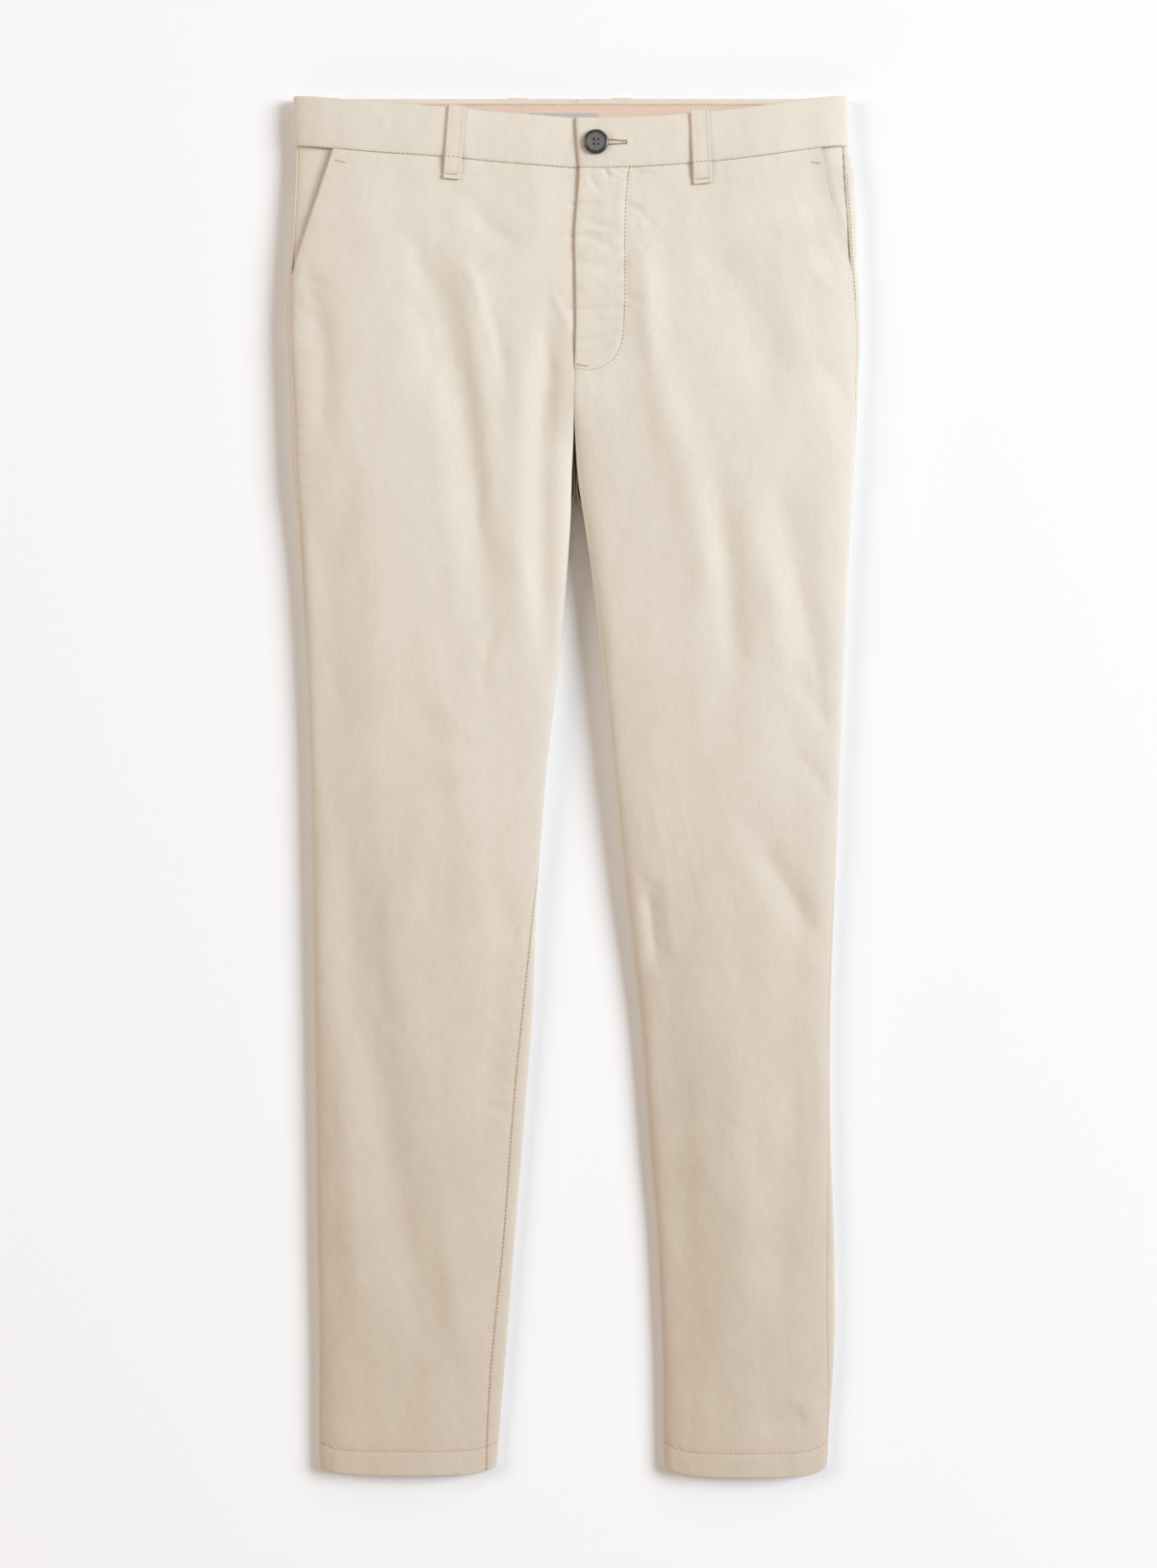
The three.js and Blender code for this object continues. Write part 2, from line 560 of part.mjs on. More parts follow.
// A dished four-hole button that stands on z = 0.
function button() {
  const profile = BUTTON_PROFILE.map(({ r, h }) => new THREE.Vector2(r * BUTTON_RADIUS, h * BUTTON_HEIGHT));
  let body = solid(new THREE.LatheGeometry(profile, 32).rotateX(Math.PI / 2));
  for (const sx of [-1, 1]) {
    for (const sy of [-1, 1]) {
      const hole = new THREE.CylinderGeometry(BUTTON_HOLE_RADIUS, BUTTON_HOLE_RADIUS, 3 * BUTTON_HEIGHT, 10);
      hole.rotateX(Math.PI / 2).translate(sx * BUTTON_HOLE_OFFSET, sy * BUTTON_HOLE_OFFSET, 0);
      body = body.subtract(solid(hole));
    }
  }
  return geometryOf(body);
}

const garment = new THREE.Group();

function add(name, geometry, material = CREAM_TWILL) {
  const mesh = new THREE.Mesh(geometry, material);
  mesh.name = name;
  garment.add(mesh);
  return mesh;
}

for (const leg of [RIGHT, LEFT]) {
  add(`front_${leg.name}`, front(leg));
  add(`back_${leg.name}`, back(leg));
  add(`waistband_${leg.name}`, waistband(leg));
  add(`pocket_facing_${leg.name}`, pocketFacing(leg));
}
add("fly_zip", zip());

const BAND_INSIDE = BAND_WALL - BAND_PROUD + LAYER_GAP;
const FACING_ENDS_Y = [WAIST_SEAM_Y - 3, WAIST_SEAM_Y + BAND_HEIGHT - FACING_BELOW_BAND_TOP];
add("waistband_facing", insideStrip(FACING_ENDS_X, FACING_ENDS_Y, BAND_INSIDE, FACING_WALL), PEACH_TWILL);

const LABEL_ENDS_Y = [WAIST_SEAM_Y + 2, WAIST_SEAM_Y + 2 + LABEL_HEIGHT];
const ON_FACING = BAND_INSIDE + FACING_WALL + LAYER_GAP;
add("blank_label", insideStrip(LABEL_ENDS_X, LABEL_ENDS_Y, ON_FACING, LABEL_WALL), GREY_TAPE);

add("belt_loop_front_right", frontLoop(RIGHT, -88.5, -92.5, 12));
add("belt_loop_front_left", frontLoop(LEFT, 96, 98.5, 13));
const BACK_LOOPS = [
  { name: "side_right", x: -187 },
  { name: "centre_right", x: -42.5 },
  { name: "centre_left", x: 37.5 },
  { name: "side_left", x: 188 },
];
for (const { name, x } of BACK_LOOPS) add(`belt_loop_back_${name}`, backLoop(x, 13));

const waistButton = add("waist_button", button(), HORN);
const seat = skin(LEFT, pAt(LEFT, BUTTON_X, BUTTON_Y), BUTTON_Y);
waistButton.position.set(seat.x, seat.y, seat.z + BAND_PROUD + 2 * LAYER_GAP);

export default garment;
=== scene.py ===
# %% [markdown]
# # Chino trousers, laid out flat
# These are cotton trousers that lie on their back on a white surface, with the waist buttoned and the fly closed.
# A garment like this is flat panels of one cloth, sewn at their edges. What the eye reads is how the light rolls
# over the soft folds, how each seam pulls the cloth in, and the fine twill of the cloth itself.
#
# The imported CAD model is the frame. It gives the place of every piece, and this script dresses each one with a
# finer shell, on the same sections, in the same axes: +X is the wearer's left, +Y the waist, +Z up.

import math
from types import SimpleNamespace

import bpy
import numpy as np
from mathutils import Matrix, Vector
from mathutils.bvhtree import BVHTree


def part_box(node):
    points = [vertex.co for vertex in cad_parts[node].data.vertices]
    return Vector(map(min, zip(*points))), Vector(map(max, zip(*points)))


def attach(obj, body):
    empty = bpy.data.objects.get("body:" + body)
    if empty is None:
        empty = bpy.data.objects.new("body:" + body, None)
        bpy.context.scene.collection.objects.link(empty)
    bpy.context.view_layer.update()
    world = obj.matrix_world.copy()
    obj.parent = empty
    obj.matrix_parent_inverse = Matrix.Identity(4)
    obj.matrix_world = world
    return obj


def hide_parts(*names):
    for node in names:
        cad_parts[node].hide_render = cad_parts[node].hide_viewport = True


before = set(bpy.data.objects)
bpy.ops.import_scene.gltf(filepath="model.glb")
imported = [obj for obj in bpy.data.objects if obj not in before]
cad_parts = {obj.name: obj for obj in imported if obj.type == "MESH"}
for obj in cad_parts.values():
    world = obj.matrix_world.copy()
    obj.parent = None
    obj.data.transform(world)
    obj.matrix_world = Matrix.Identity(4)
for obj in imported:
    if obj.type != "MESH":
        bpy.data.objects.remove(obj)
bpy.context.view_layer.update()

# %% [markdown]
# ## The sections
# The cut of the garment is kept in a few short tables of millimetres, and a smooth curve runs through each
# column. A section of a leg has four values: where the outline's outer and inner edges are, and how far the
# side seam and the inside leg seam have rolled in from those edges onto the top.

# %% Tables and the curves through them
MM = 0.001


def table(columns, *rows):
    """Rows of numbers under named columns."""
    return {name: np.array([row[i] for row in rows], float) for i, name in enumerate(columns.split())}


def curve(rows, key, name):
    """A smooth curve through one column of a table, as a function of another column."""
    at, value = rows[key], rows[name]
    slope = np.empty_like(value)
    slope[1:-1] = (value[2:] - value[:-2]) / (at[2:] - at[:-2])
    slope[0] = (value[1] - value[0]) / (at[1] - at[0])
    slope[-1] = (value[-1] - value[-2]) / (at[-1] - at[-2])

    def on_curve(x):
        i = np.clip(np.searchsorted(at, x) - 1, 0, len(at) - 2)
        step = at[i + 1] - at[i]
        rise = value[i + 1] - value[i]
        s = np.clip((x - at[i]) / step, 0, 1)
        a = slope[i] * step - rise
        b = rise - slope[i + 1] * step
        return value[i] + rise * s + s * (1 - s) * (a * (1 - s) + b * s)

    return on_curve


def smooth(x, low, high):
    """0 below low, 1 above high, and a soft step between."""
    s = np.clip((x - low) / (high - low), 0, 1)
    return s * s * (3 - 2 * s)


def lerp(a, b, s):
    return a + (b - a) * s


def bell(x, half):
    """1 at 0, with a soft fall on both sides."""
    return np.exp(-((x / half) ** 2))


def fade(away, height, reach):
    """A height at a seam or an edge, which dies out away from it."""
    return height * np.exp(-away / reach)


# %% The tables of the cut
RIGHT_SECTIONS = table(
    "y outer inner side_inset inside_inset",
    (-532, -194.6, -59.2, 0, 8.0),
    (-521, -194.8, -58.6, 0, 8.5),
    (-488, -195.3, -55.9, 0, 10.4),
    (-437, -194.9, -51.8, 0, 11.0),
    (-343, -196.5, -44.4, 0, 9.2),
    (-236, -197.8, -35.8, 0, 9.8),
    (-160, -199.1, -30.3, 0, 7.6),
    (-104, -200.0, -28.9, 0, 3.0),
    (-62, -200.7, -26.3, 0, 0.6),
    (7, -202.0, -20.7, 0, 0),
    (73, -203.9, -13.1, 0.3, 0),
    (140, -207.3, -6.5, 1.6, 0),
    (197, -211.8, -2.2, 3.8, 0),
    (234, -216.2, -0.9, 5.2, 0),
    (266, -217.4, 0.7, 5.5, 0),
    (300, -218.8, 0.5, 5.5, 0),
    (350, -221.0, 2.4, 5.2, 0),
    (397, -219.1, 2.2, 4.2, 0),
    (447, -215.4, 2.6, 2.8, 0),
    (489, -213.6, 3.7, 2.2, 0),
    (510, -214.2, 3.2, 2.0, 0),
    (534, -213.4, 2.2, 2.0, 0),
)
LEFT_SECTIONS = table(
    "y outer inner side_inset inside_inset",
    (-532, 192.6, 70.2, 0.6, 0),
    (-521, 194.6, 69.5, 0.8, 0),
    (-488, 196.6, 68.7, 1.9, 0),
    (-446, 199.6, 68.5, 4.6, 0),
    (-403, 200.9, 67.0, 7.3, 0),
    (-335, 199.8, 63.6, 5.4, 0),
    (-283, 197.8, 58.9, 2.7, 0),
    (-226, 197.0, 54.8, 1.2, 0),
    (-170, 197.6, 50.2, 2.2, 0),
    (-85, 200.5, 40.2, 1.2, 0),
    (-30, 202.8, 34.8, 0.4, 0),
    (64, 206.8, 25.2, 0, 0),
    (149, 210.2, 15.8, 0, 0),
    (196, 213.1, 9.3, 0, 0),
    (234, 215.2, 3.6, 0, 0),
    (266, 217.1, 1.0, 0.5, 0),
    (300, 218.6, 0.5, 2.5, 0),
    (350, 221.0, 2.4, 4.8, 0),
    (397, 218.8, 1.9, 6.4, 0),
    (425, 218.2, 1.5, 7.6, 0),
    (447, 217.4, 2.4, 8.4, 0),
    (472, 215.6, 4.2, 8.0, 0),
    (489, 211.0, 4.9, 4.0, 0),
    (510, 210.2, 3.4, 3.0, 0),
    (534, 208.8, 2.0, 3.0, 0),
)
HEIGHTS = table(
    "y edge swell underside",
    (-532, 5.5, 17, 0),
    (-440, 6.0, 19, 0),
    (-280, 6.5, 21, 0),
    (-60, 7.0, 24, 0),
    (140, 8.0, 28, 0),
    (270, 8.5, 30, 0),
    (360, 8.5, 29, 0),
    (430, 9.0, 27, 0),
    (468, 9.0, 25, 2.5),
    (489, 9.0, 24.5, 2.5),
    (534, 9.0, 23, 2.5),
)
WAIST_DIPS = table(
    "x dip",
    (-212.5, 0),
    (-150, 6.5),
    (-97, 10.5),
    (-50, 15),
    (3, 18.5),
    (50, 18),
    (93, 15),
    (140, 10),
    (190, 2),
    (208, 0),
)
RIGHT_POCKET = table("y x", (380, -217.2), (388, -215.0), (420, -204.8), (455, -193.4), (489, -182.4))
LEFT_POCKET = table(
    "y x", (380, 215.2), (388, 213.4), (412, 207.6), (434, 200.6), (453, 194.4), (489, 188.4)
)

HEM_Y = -521
WAIST_SEAM_Y = 489
BAND_HEIGHT = 38
BAND_TOP_Y = WAIST_SEAM_Y + BAND_HEIGHT
HEM_DEPTH = 18
CROTCH_Y = 223
SPLIT_TOP_Y = 304
FORK_Y = CROTCH_Y - 15, CROTCH_Y + 3
FLY_END_Y = 334
POCKET_END_Y = 388
CENTRE_BACK_X = 2
SIDE_SQUARENESS = 0.82
INSIDE_SQUARENESS = 0.9, 0.36
INSIDE_FULL = -230, 20
UNDERSIDE_FLATNESS = 0.5
WAIST_DIP_FADE = 120
HEM_DROP_FADE = 90
HEM_SQUARENESS = 6
FLY_LOWERED = 1.65, 2.35
FLY_LOWERED_Y = WAIST_SEAM_Y - 30, WAIST_SEAM_Y - 3
FLY_LOWERED_WIDTH = 34
FLY_RAMP = 26
BAND_PROUD = 0.6

edge_height, swell_height, underside_height = (curve(HEIGHTS, "y", name) for name in ("edge", "swell", "underside"))
waist_dip = curve(WAIST_DIPS, "x", "dip")


def leg_of(name, outward, sections, pocket, hem_drop):
    """One leg: its name, its side, its hem and the curves of its sections, each by its column's name."""
    curves = {column: curve(sections, "y", column) for column in sections if column != "y"}
    return SimpleNamespace(
        name=name, outward=outward, hem_drop=hem_drop, pocket=curve(pocket, "y", "x"), **curves
    )


RIGHT = leg_of("right", -1, RIGHT_SECTIONS, RIGHT_POCKET, 5.5)
LEFT = leg_of("left", 1, LEFT_SECTIONS, LEFT_POCKET, 7)
LEGS = (RIGHT, LEFT)
print("sections:", len(RIGHT_SECTIONS["y"]), "right,", len(LEFT_SECTIONS["y"]), "left")

# %% [markdown]
# ## The folds
# Laid-out cloth keeps a memory of being worn and folded: long soft drags from the hip to the crotch, a hollow
# beside each inside leg, and a few crisp little creases. Each is a row: where it starts and ends, how far its
# middle bows to the right of its way, its half width, its depth, and how crisp it is. A ridge has a negative
# depth. The first table holds the large folds, which the CAD model has too.

# %% Folds and creases
FOLD_COLUMNS = "x0 y0 x1 y1 bow half depth crisp"
FOLDS = table(
    FOLD_COLUMNS,
    (-127, 445, -67, 94, -15, 15, 4.2, 0),
    (-88, 430, -58, 150, -4, 10, -1.8, 0),
    (-15, 385, -18, 66, 8, 10, 4.6, 0),
    (-36, 360, -34, 60, 6, 12, -2.2, 0),
    (-192, 250, -184, -70, 2, 14, 3.0, 0),
    (-184, 0, -100, -470, 8, 17, 3.8, 0),
    (-178, -150, -160, -450, 4, 14, -1.8, 0),
    (-92, 80, -70, -150, -2, 20, -2.2, 0),
    (-46, -60, -66, -270, 0, 12, 2.2, 0),
    (-202, 400, -190, 330, 3, 8, 1.6, 0),
    (-86, 458, -36, 410, 3, 8, 1.4, 0),
    (98, 430, 160, 290, -6, 20, 3.4, 0),
    (104, 250, 124, 60, -4, 13, 3.4, 0),
    (76, 300, 108, 120, -4, 13, -2.2, 0),
    (146, 250, 198, 30, -4, 14, 3.6, 0),
    (128, -10, 190, -130, 2, 14, 3.0, 0),
    (60, -70, 66, -150, 0, 10, 2.2, 0),
    (72, -80, 90, -500, 2, 15, 2.2, 0),
    (118, -160, 134, -460, 0, 18, -2.0, 0),
    (176, -190, 160, -420, 3, 14, 2.2, 0),
    (46, 440, 96, 170, 6, 14, -2.4, 0),
    (186, 330, 214, 262, -4, 9, 1.8, 0),
)
FOLD_FADE = 0.28
CRISPNESS = 1.6


def fold_depth(folds, x, y):
    """How deep the folds of a table are at (x, y)."""
    depth = np.zeros(np.broadcast(x, y).shape)
    for x0, y0, x1, y1, bow, half, deep, crisp in zip(*folds.values()):
        length = math.hypot(x1 - x0, y1 - y0)
        way = (x1 - x0) / length, (y1 - y0) / length
        s = ((x - x0) * way[0] + (y - y0) * way[1]) / length
        aside = (x - x0) * way[1] - (y - y0) * way[0] - bow * 4 * s * (1 - s)
        ends = smooth(s, 0, FOLD_FADE) * (1 - smooth(s, 1 - FOLD_FADE, 1))
        sharp = np.exp(-CRISPNESS * (np.sqrt(aside**2 + 1) - 1) / half)
        depth += deep * ends * lerp(bell(aside, half), sharp, crisp)
    return depth


print("folds:", len(FOLDS["x0"]))


# %% The skin that every piece follows
def split_at(y):
    """0 at the hips, where the front is one sheet, and 1 on the legs."""
    return 1 - smooth(y, CROTCH_Y, SPLIT_TOP_Y)


def bend(leg, x, y):
    """How far the upper side lies towards the hem at x: the dipped waistline and the rounded hem."""
    near_waist = smooth(y, WAIST_SEAM_Y - WAIST_DIP_FADE, WAIST_SEAM_Y)
    outer, inner = leg.outer(HEM_Y), leg.inner(HEM_Y)
    across = np.clip(2 * (x - outer) / (inner - outer) - 1, -1, 1)
    near_hem = 1 - smooth(y, HEM_Y + HEM_DEPTH, HEM_Y + HEM_DROP_FADE)
    return waist_dip(x) * near_waist + leg.hem_drop * (1 - across**HEM_SQUARENESS) * near_hem


def skin(leg, p, y):
    """Points of the garment's outside, in millimetres.

    p runs from -1, the inner edge of the underside, through 0, the outline's outer edge, to 1, the inner edge of
    the top. Below -1 it goes on round a leg's inner edge, onto the top.
    """
    p, y = np.broadcast_arrays(np.asarray(p, float), np.asarray(y, float))
    top = (p >= 0) | (p < -1)
    t = np.where(p < -1, 2 + p, np.abs(p))
    split = split_at(y)
    edge = edge_height(y)
    outer, inner = leg.outer(y), leg.inner(y)
    fork = smooth(y, *FORK_Y)
    inner = np.where(top, inner, lerp(inner, CENTRE_BACK_X, fork))
    turn = math.pi * np.minimum(t, 1)
    rounded = (1 - np.cos(turn)) / 2
    x = outer + (inner - outer) * np.where(t <= 0.5, rounded, lerp(t, rounded, split))
    arch = np.maximum(np.sin(turn), 0)
    inside = lerp(*INSIDE_SQUARENESS, smooth(y, *INSIDE_FULL))
    roll = arch ** np.where(t <= 0.5, SIDE_SQUARENESS, inside)
    swollen = np.where(t <= 0.5, roll, lerp(1, roll, split))
    swell = swell_height(y) - edge - fold_depth(FOLDS, x, y)
    underside = np.maximum(underside_height(y), 0)
    curl = np.maximum(0, 1 - arch / UNDERSIDE_FLATNESS) ** 2 * np.where(t <= 0.5, 1, split)
    z = np.where(top, edge + swell * swollen, underside + (edge - underside) * curl)
    return np.stack([x, y - np.where(top, bend(leg, x, y), 0), z], axis=-1)


# %% Places on the skin
SKIN_STEP = 0.004


def p_at(leg, x, y):
    """The p of a point on the top at x, above the crotch."""
    across = (x - leg.outer(y)) / (leg.inner(y) - leg.outer(y))
    return np.where(across < 0.5, np.arccos(1 - 2 * np.clip(across, 0, 1)) / math.pi, across)


def along(leg, p, y, length):
    """p moved along the skin by a length in millimetres."""
    step = np.where(np.asarray(length) < 0, -SKIN_STEP, SKIN_STEP)
    speed = np.linalg.norm(skin(leg, p + step, y) - skin(leg, p, y), axis=-1) / SKIN_STEP
    return p + length / speed


def side_seam(leg, y):
    return p_at(leg, leg.outer(y) - leg.outward * leg.side_inset(y), y)


def inside_seam(leg, y):
    """Where the inside leg seam lies, and 1, the centre front, above the crotch."""
    inset = np.maximum(leg.inside_inset(y), 0) * split_at(y)
    return 1 - np.arccos(1 - 2 * inset / np.abs(leg.inner(y) - leg.outer(y))) / math.pi


def lowered(leg, points, y):
    """The right side goes down towards the centre front, to pass under the left front and band."""
    if leg is RIGHT:
        edge = leg.inner(y)
        across = smooth(points[..., 0], edge - FLY_LOWERED_WIDTH, edge - 1)
        depth = lerp(*FLY_LOWERED, smooth(y, *FLY_LOWERED_Y))
        points[..., 2] -= depth * across * smooth(y, FLY_END_Y - FLY_RAMP, FLY_END_Y)
    return points


print("skin at the right thigh:", skin(RIGHT, 0.5, 100).round(1))

# %% [markdown]
# ## A cloth wall
# Cloth has a thickness, and where it is cut and turned its edge is round, which is what catches the light along
# a pocket or a fly. A Solidify modifier would give square rims, so a wall is made here from an outer grid of
# points, an inner grid a thickness below it, and a few rings round the rim that bulge outwards. It is closed.
# Its UV map holds lengths along the cloth in metres, so that the weave follows the surface, and an attribute
# says how near a point is to an edge, where the cloth's material paints a warm shade.

# %% Grids and lengths
RIM_RINGS = 3
EDGE_SHADE_REACH = 2.5
GRADING_SAMPLES = 600
LOW, HIGH = slice(None, -1), slice(1, None)
CORNERS = ((LOW, LOW), (LOW, HIGH), (HIGH, HIGH), (HIGH, LOW))


def unit(v):
    return v / np.maximum(np.linalg.norm(v, axis=-1, keepdims=True), 1e-9)


def normals_of(points, side):
    return unit(np.cross(np.gradient(points, axis=1), np.gradient(points, axis=0))) * side


def run_along(points):
    """The length along each row of points, from its first point."""
    steps = np.linalg.norm(np.diff(points, axis=1), axis=-1)
    return np.concatenate([np.zeros((len(points), 1)), np.cumsum(steps, axis=1)], axis=1)


def graded(count, reach, fine):
    """Values from 0 to 1 whose steps are up to 1 + fine times closer near both ends."""
    s = np.linspace(0, 1, GRADING_SAMPLES)
    density = 1 + fine * (np.exp(-s / reach) + np.exp(-(1 - s) / reach))
    total = np.concatenate([[0], np.cumsum((density[1:] + density[:-1]) / 2)])
    return np.interp(np.linspace(0, 1, count + 1), total / total[-1], s)


print("closest of 100 graded steps:", graded(100, 0.05, 1.5)[1].round(4))


# %% A mesh from points
def mesh_object(name, points, faces, material, uvs=None, wear=None):
    """A mesh object at the origin, from points in millimetres."""
    mesh = bpy.data.meshes.new(name)
    mesh.from_pydata((np.asarray(points) * MM).tolist(), [], faces)
    mesh.polygons.foreach_set("use_smooth", [True] * len(mesh.polygons))
    if uvs is not None:
        layer = mesh.uv_layers.new(name="cloth")
        corners = np.empty(len(mesh.loops), int)
        mesh.loops.foreach_get("vertex_index", corners)
        layer.data.foreach_set("uv", (np.asarray(uvs)[corners] * MM).ravel())
    # The attribute that places the painted warm shade near edges.
    if wear is not None:
        mesh.attributes.new("wear", "FLOAT", "POINT").data.foreach_set("value", wear)
    mesh.materials.append(material)
    obj = bpy.data.objects.new(name, mesh)
    bpy.context.collection.objects.link(obj)
    return obj


# %% A closed wall
def away_from(outer):
    """At each point of a grid's rim, the way that leads off the grid along its own surface."""
    step_u, step_v = (unit(np.gradient(outer, axis=axis)) for axis in (1, 0))
    away = np.zeros_like(outer)
    away[:, 0] -= step_u[:, 0]
    away[:, -1] += step_u[:, -1]
    away[0] -= step_v[0]
    away[-1] += step_v[-1]
    return unit(away)


def wall_faces(index, rim, side):
    """The faces of the outer grid, of the inner one and of the rings between their rims."""
    count = index.size
    a, b, c, d = (index[r, k].ravel() for r, k in CORNERS)
    faces = [np.stack([a, b, c, d], axis=1), np.stack([d, c, b, a], axis=1) + count]
    rings = [2 * count + k * len(rim) + np.arange(len(rim)) for k in range(RIM_RINGS)]
    lines = [rim, *rings, rim + count]
    for first, second in zip(lines[:-1], lines[1:]):
        faces.append(np.stack([first, second, np.roll(second, -1), np.roll(first, -1)], axis=1))
    faces = np.concatenate(faces)
    return (faces[:, ::-1] if side < 0 else faces).tolist()


def wall(name, outer, y, thickness, side, material):
    """A closed wall of cloth. side is 1 where columns, rows and the outward normal are right handed."""
    normals = normals_of(outer, side)
    thickness = np.broadcast_to(thickness, outer.shape[:2])[..., None]
    inner = outer - normals * thickness
    index = np.arange(y.size).reshape(y.shape)
    rim = np.concatenate([index[0, :-1], index[:-1, -1], index[-1, :0:-1], index[:0:-1, 0]])
    middle, aside, up = (a.reshape(-1, 3)[rim] for a in ((outer + inner) / 2, away_from(outer), normals))
    half = thickness.reshape(-1, 1)[rim] / 2
    turns = [math.pi * k / (RIM_RINGS + 1) for k in range(1, RIM_RINGS + 1)]
    rings = [middle + half * (up * math.cos(a) + aside * math.sin(a)) for a in turns]
    points = np.concatenate([outer.reshape(-1, 3), inner.reshape(-1, 3), *rings])

    run = run_along(outer)
    centre = run.shape[1] // 2
    cloth = np.stack([run - run[:, centre : centre + 1], y], axis=-1).reshape(-1, 2)
    uvs = np.concatenate([cloth, cloth, *[cloth[rim]] * RIM_RINGS])
    # How near each point is to an edge, for the painted warm shade there.
    edge_shade_weight = fade(np.minimum(run, run[:, -1:] - run), 1, EDGE_SHADE_REACH).ravel()
    wear = np.concatenate([edge_shade_weight, edge_shade_weight, np.ones(RIM_RINGS * len(rim))])
    return mesh_object(name, points, wall_faces(index, rim, side), material, uvs, wear)


pieces = {}


def add_piece(name, outer, y, thickness, side, material, cloth="cloth"):
    """A wall that dresses the CAD node of this name."""
    pieces[name] = wall(f"{name}_{cloth}", outer, y, thickness, side, material)
    print(pieces[name].name, len(pieces[name].data.polygons), "faces")


# %% [markdown]
# ## The camera
# The photo is taken straight down, from far enough away that the waist and the hems hardly lean. So the camera
# hangs 2.2 m above the middle of the picture and looks straight down, with the waist up.

# %% Camera
IMAGE_SIZE = (1203, 1630)
MM_PER_PIXEL = 0.74
PIXEL_OF_ORIGIN = (596, 816.5)
CAMERA_HEIGHT = 2.2
SENSOR = 36

camera_data = bpy.data.cameras.new("camera")
camera_data.sensor_width = SENSOR
camera_data.lens = SENSOR * CAMERA_HEIGHT / (IMAGE_SIZE[1] * MM_PER_PIXEL * MM)
camera = bpy.data.objects.new("camera", camera_data)
camera.location = (
    (IMAGE_SIZE[0] / 2 - PIXEL_OF_ORIGIN[0]) * MM_PER_PIXEL * MM,
    (PIXEL_OF_ORIGIN[1] - IMAGE_SIZE[1] / 2) * MM_PER_PIXEL * MM,
    CAMERA_HEIGHT,
)
bpy.context.collection.objects.link(camera)
bpy.context.scene.camera = camera
print("camera at", [round(c, 4) for c in camera.location], "lens", round(camera_data.lens, 2), "mm")

# %% [markdown]
# ## Colours and nodes
# Hex colours are sRGB, as a colour picker gives them, and Blender's sockets are linear, so one function turns
# them. One more adds a node with its settings and its links, and a few short ones call it for the nodes that
# come up most, which keeps each material short to read.


# %% The colour and node helpers
def srgb(code):
    """A hex colour as linear RGBA."""
    values = [int(code[i : i + 2], 16) / 255 for i in (1, 3, 5)]
    return (*[v / 12.92 if v <= 0.04045 else ((v + 0.055) / 1.055) ** 2.4 for v in values], 1)


def node(tree, kind, inputs=None, **settings):
    """A node with its settings, its values, and its links."""
    made = tree.nodes.new(kind)
    for name, value in settings.items():
        setattr(made, name, value)
    for socket, value in (inputs or {}).items():
        if isinstance(value, bpy.types.NodeSocket):
            tree.links.new(value, made.inputs[socket])
        else:
            made.inputs[socket].default_value = value
    return made


def output(tree, kind, inputs=None, **settings):
    """The first output of a new node."""
    return node(tree, kind, inputs, **settings).outputs[0]


def noise(tree, vector, scale, detail, distortion=0.0):
    """Soft clouds, so many to a metre."""
    inputs = {"Vector": vector, "Scale": scale, "Detail": detail, "Distortion": distortion}
    return output(tree, "ShaderNodeTexNoise", inputs)


def mapped(tree, vector, scale=(1, 1, 1), turn=0):
    """A vector that is turned about Z and scaled."""
    return output(tree, "ShaderNodeMapping", {"Vector": vector, "Rotation": (0, 0, turn), "Scale": scale})


def ramp(tree, value, low, high, interpolation="SMOOTHSTEP"):
    """0 where a value is at low, and 1 where it is at high."""
    limits = {"Value": value, "From Min": low, "From Max": high}
    return output(tree, "ShaderNodeMapRange", limits, interpolation_type=interpolation)


def mixed(tree, share, *colors):
    """Two colours, each a hex code or a socket, mixed by a share."""
    first, second = (srgb(c) if isinstance(c, str) else c for c in colors)
    return node(tree, "ShaderNodeMix", {0: share, 6: first, 7: second}, data_type="RGBA").outputs[2]


def bump(tree, height, strength, distance, **below):
    """A bump of a depth in metres, which can lie on another one below it."""
    return output(tree, "ShaderNodeBump", {"Height": height, "Strength": strength, "Distance": distance, **below})


def empty_material(name):
    made = bpy.data.materials.new(name)
    made.use_nodes = True
    made.node_tree.nodes.clear()
    return made, made.node_tree


def finished(tree, **shader):
    """A Principled shader with its output. A name's underscores stand for spaces."""
    inputs = {name.replace("_", " "): value for name, value in shader.items()}
    node(tree, "ShaderNodeOutputMaterial", {"Surface": output(tree, "ShaderNodeBsdfPrincipled", inputs)})


print("mid grey #808080 is", round(srgb("#808080")[0], 3), "linear")


# %% [markdown]
# ## Light and floor
# The floor outside the garment is white, but the gap between the legs is darker and warm, and so is each
# hollow. That is what large soft sources give when they stand low on either side: the open floor sees them all,
# and the gap sees little of them. The one on the right is the brightest and a little cool, and two weak ones
# beyond the waist and the hems light the cloth's ends. What comes from all round is weak and warm, as if it had
# bounced off cream cloth.

# %% Lights
SURROUND_COLOR, SURROUND_STRENGTH = "#ffe7d1", 0.295
LIGHTS = {
    "key right": ((6.8, 1.6, 5.1), 4.5, 735, "#edf6ff"),
    "fill left": ((-6.5, 1.4, 4.4), 4.5, 225, "#fff5ec"),
    "rim waist": ((3.6, 6.0, 3.6), 2.5, 45, "#ffffff"),
    "fill hems": ((-3.6, -6.0, 3.6), 2.5, 45, "#fffaf4"),
}

bpy.context.scene.view_settings.view_transform = "Standard"
for name, (place, size, power, color) in LIGHTS.items():
    lamp = bpy.data.lights.new(name, "AREA")
    lamp.shape, lamp.size, lamp.energy = "DISK", size, power
    lamp.color = srgb(color)[:3]
    lamp_object = bpy.data.objects.new(name, lamp)
    lamp_object.location = place
    lamp_object.rotation_euler = (-Vector(place)).to_track_quat("-Z", "Y").to_euler()
    bpy.context.collection.objects.link(lamp_object)

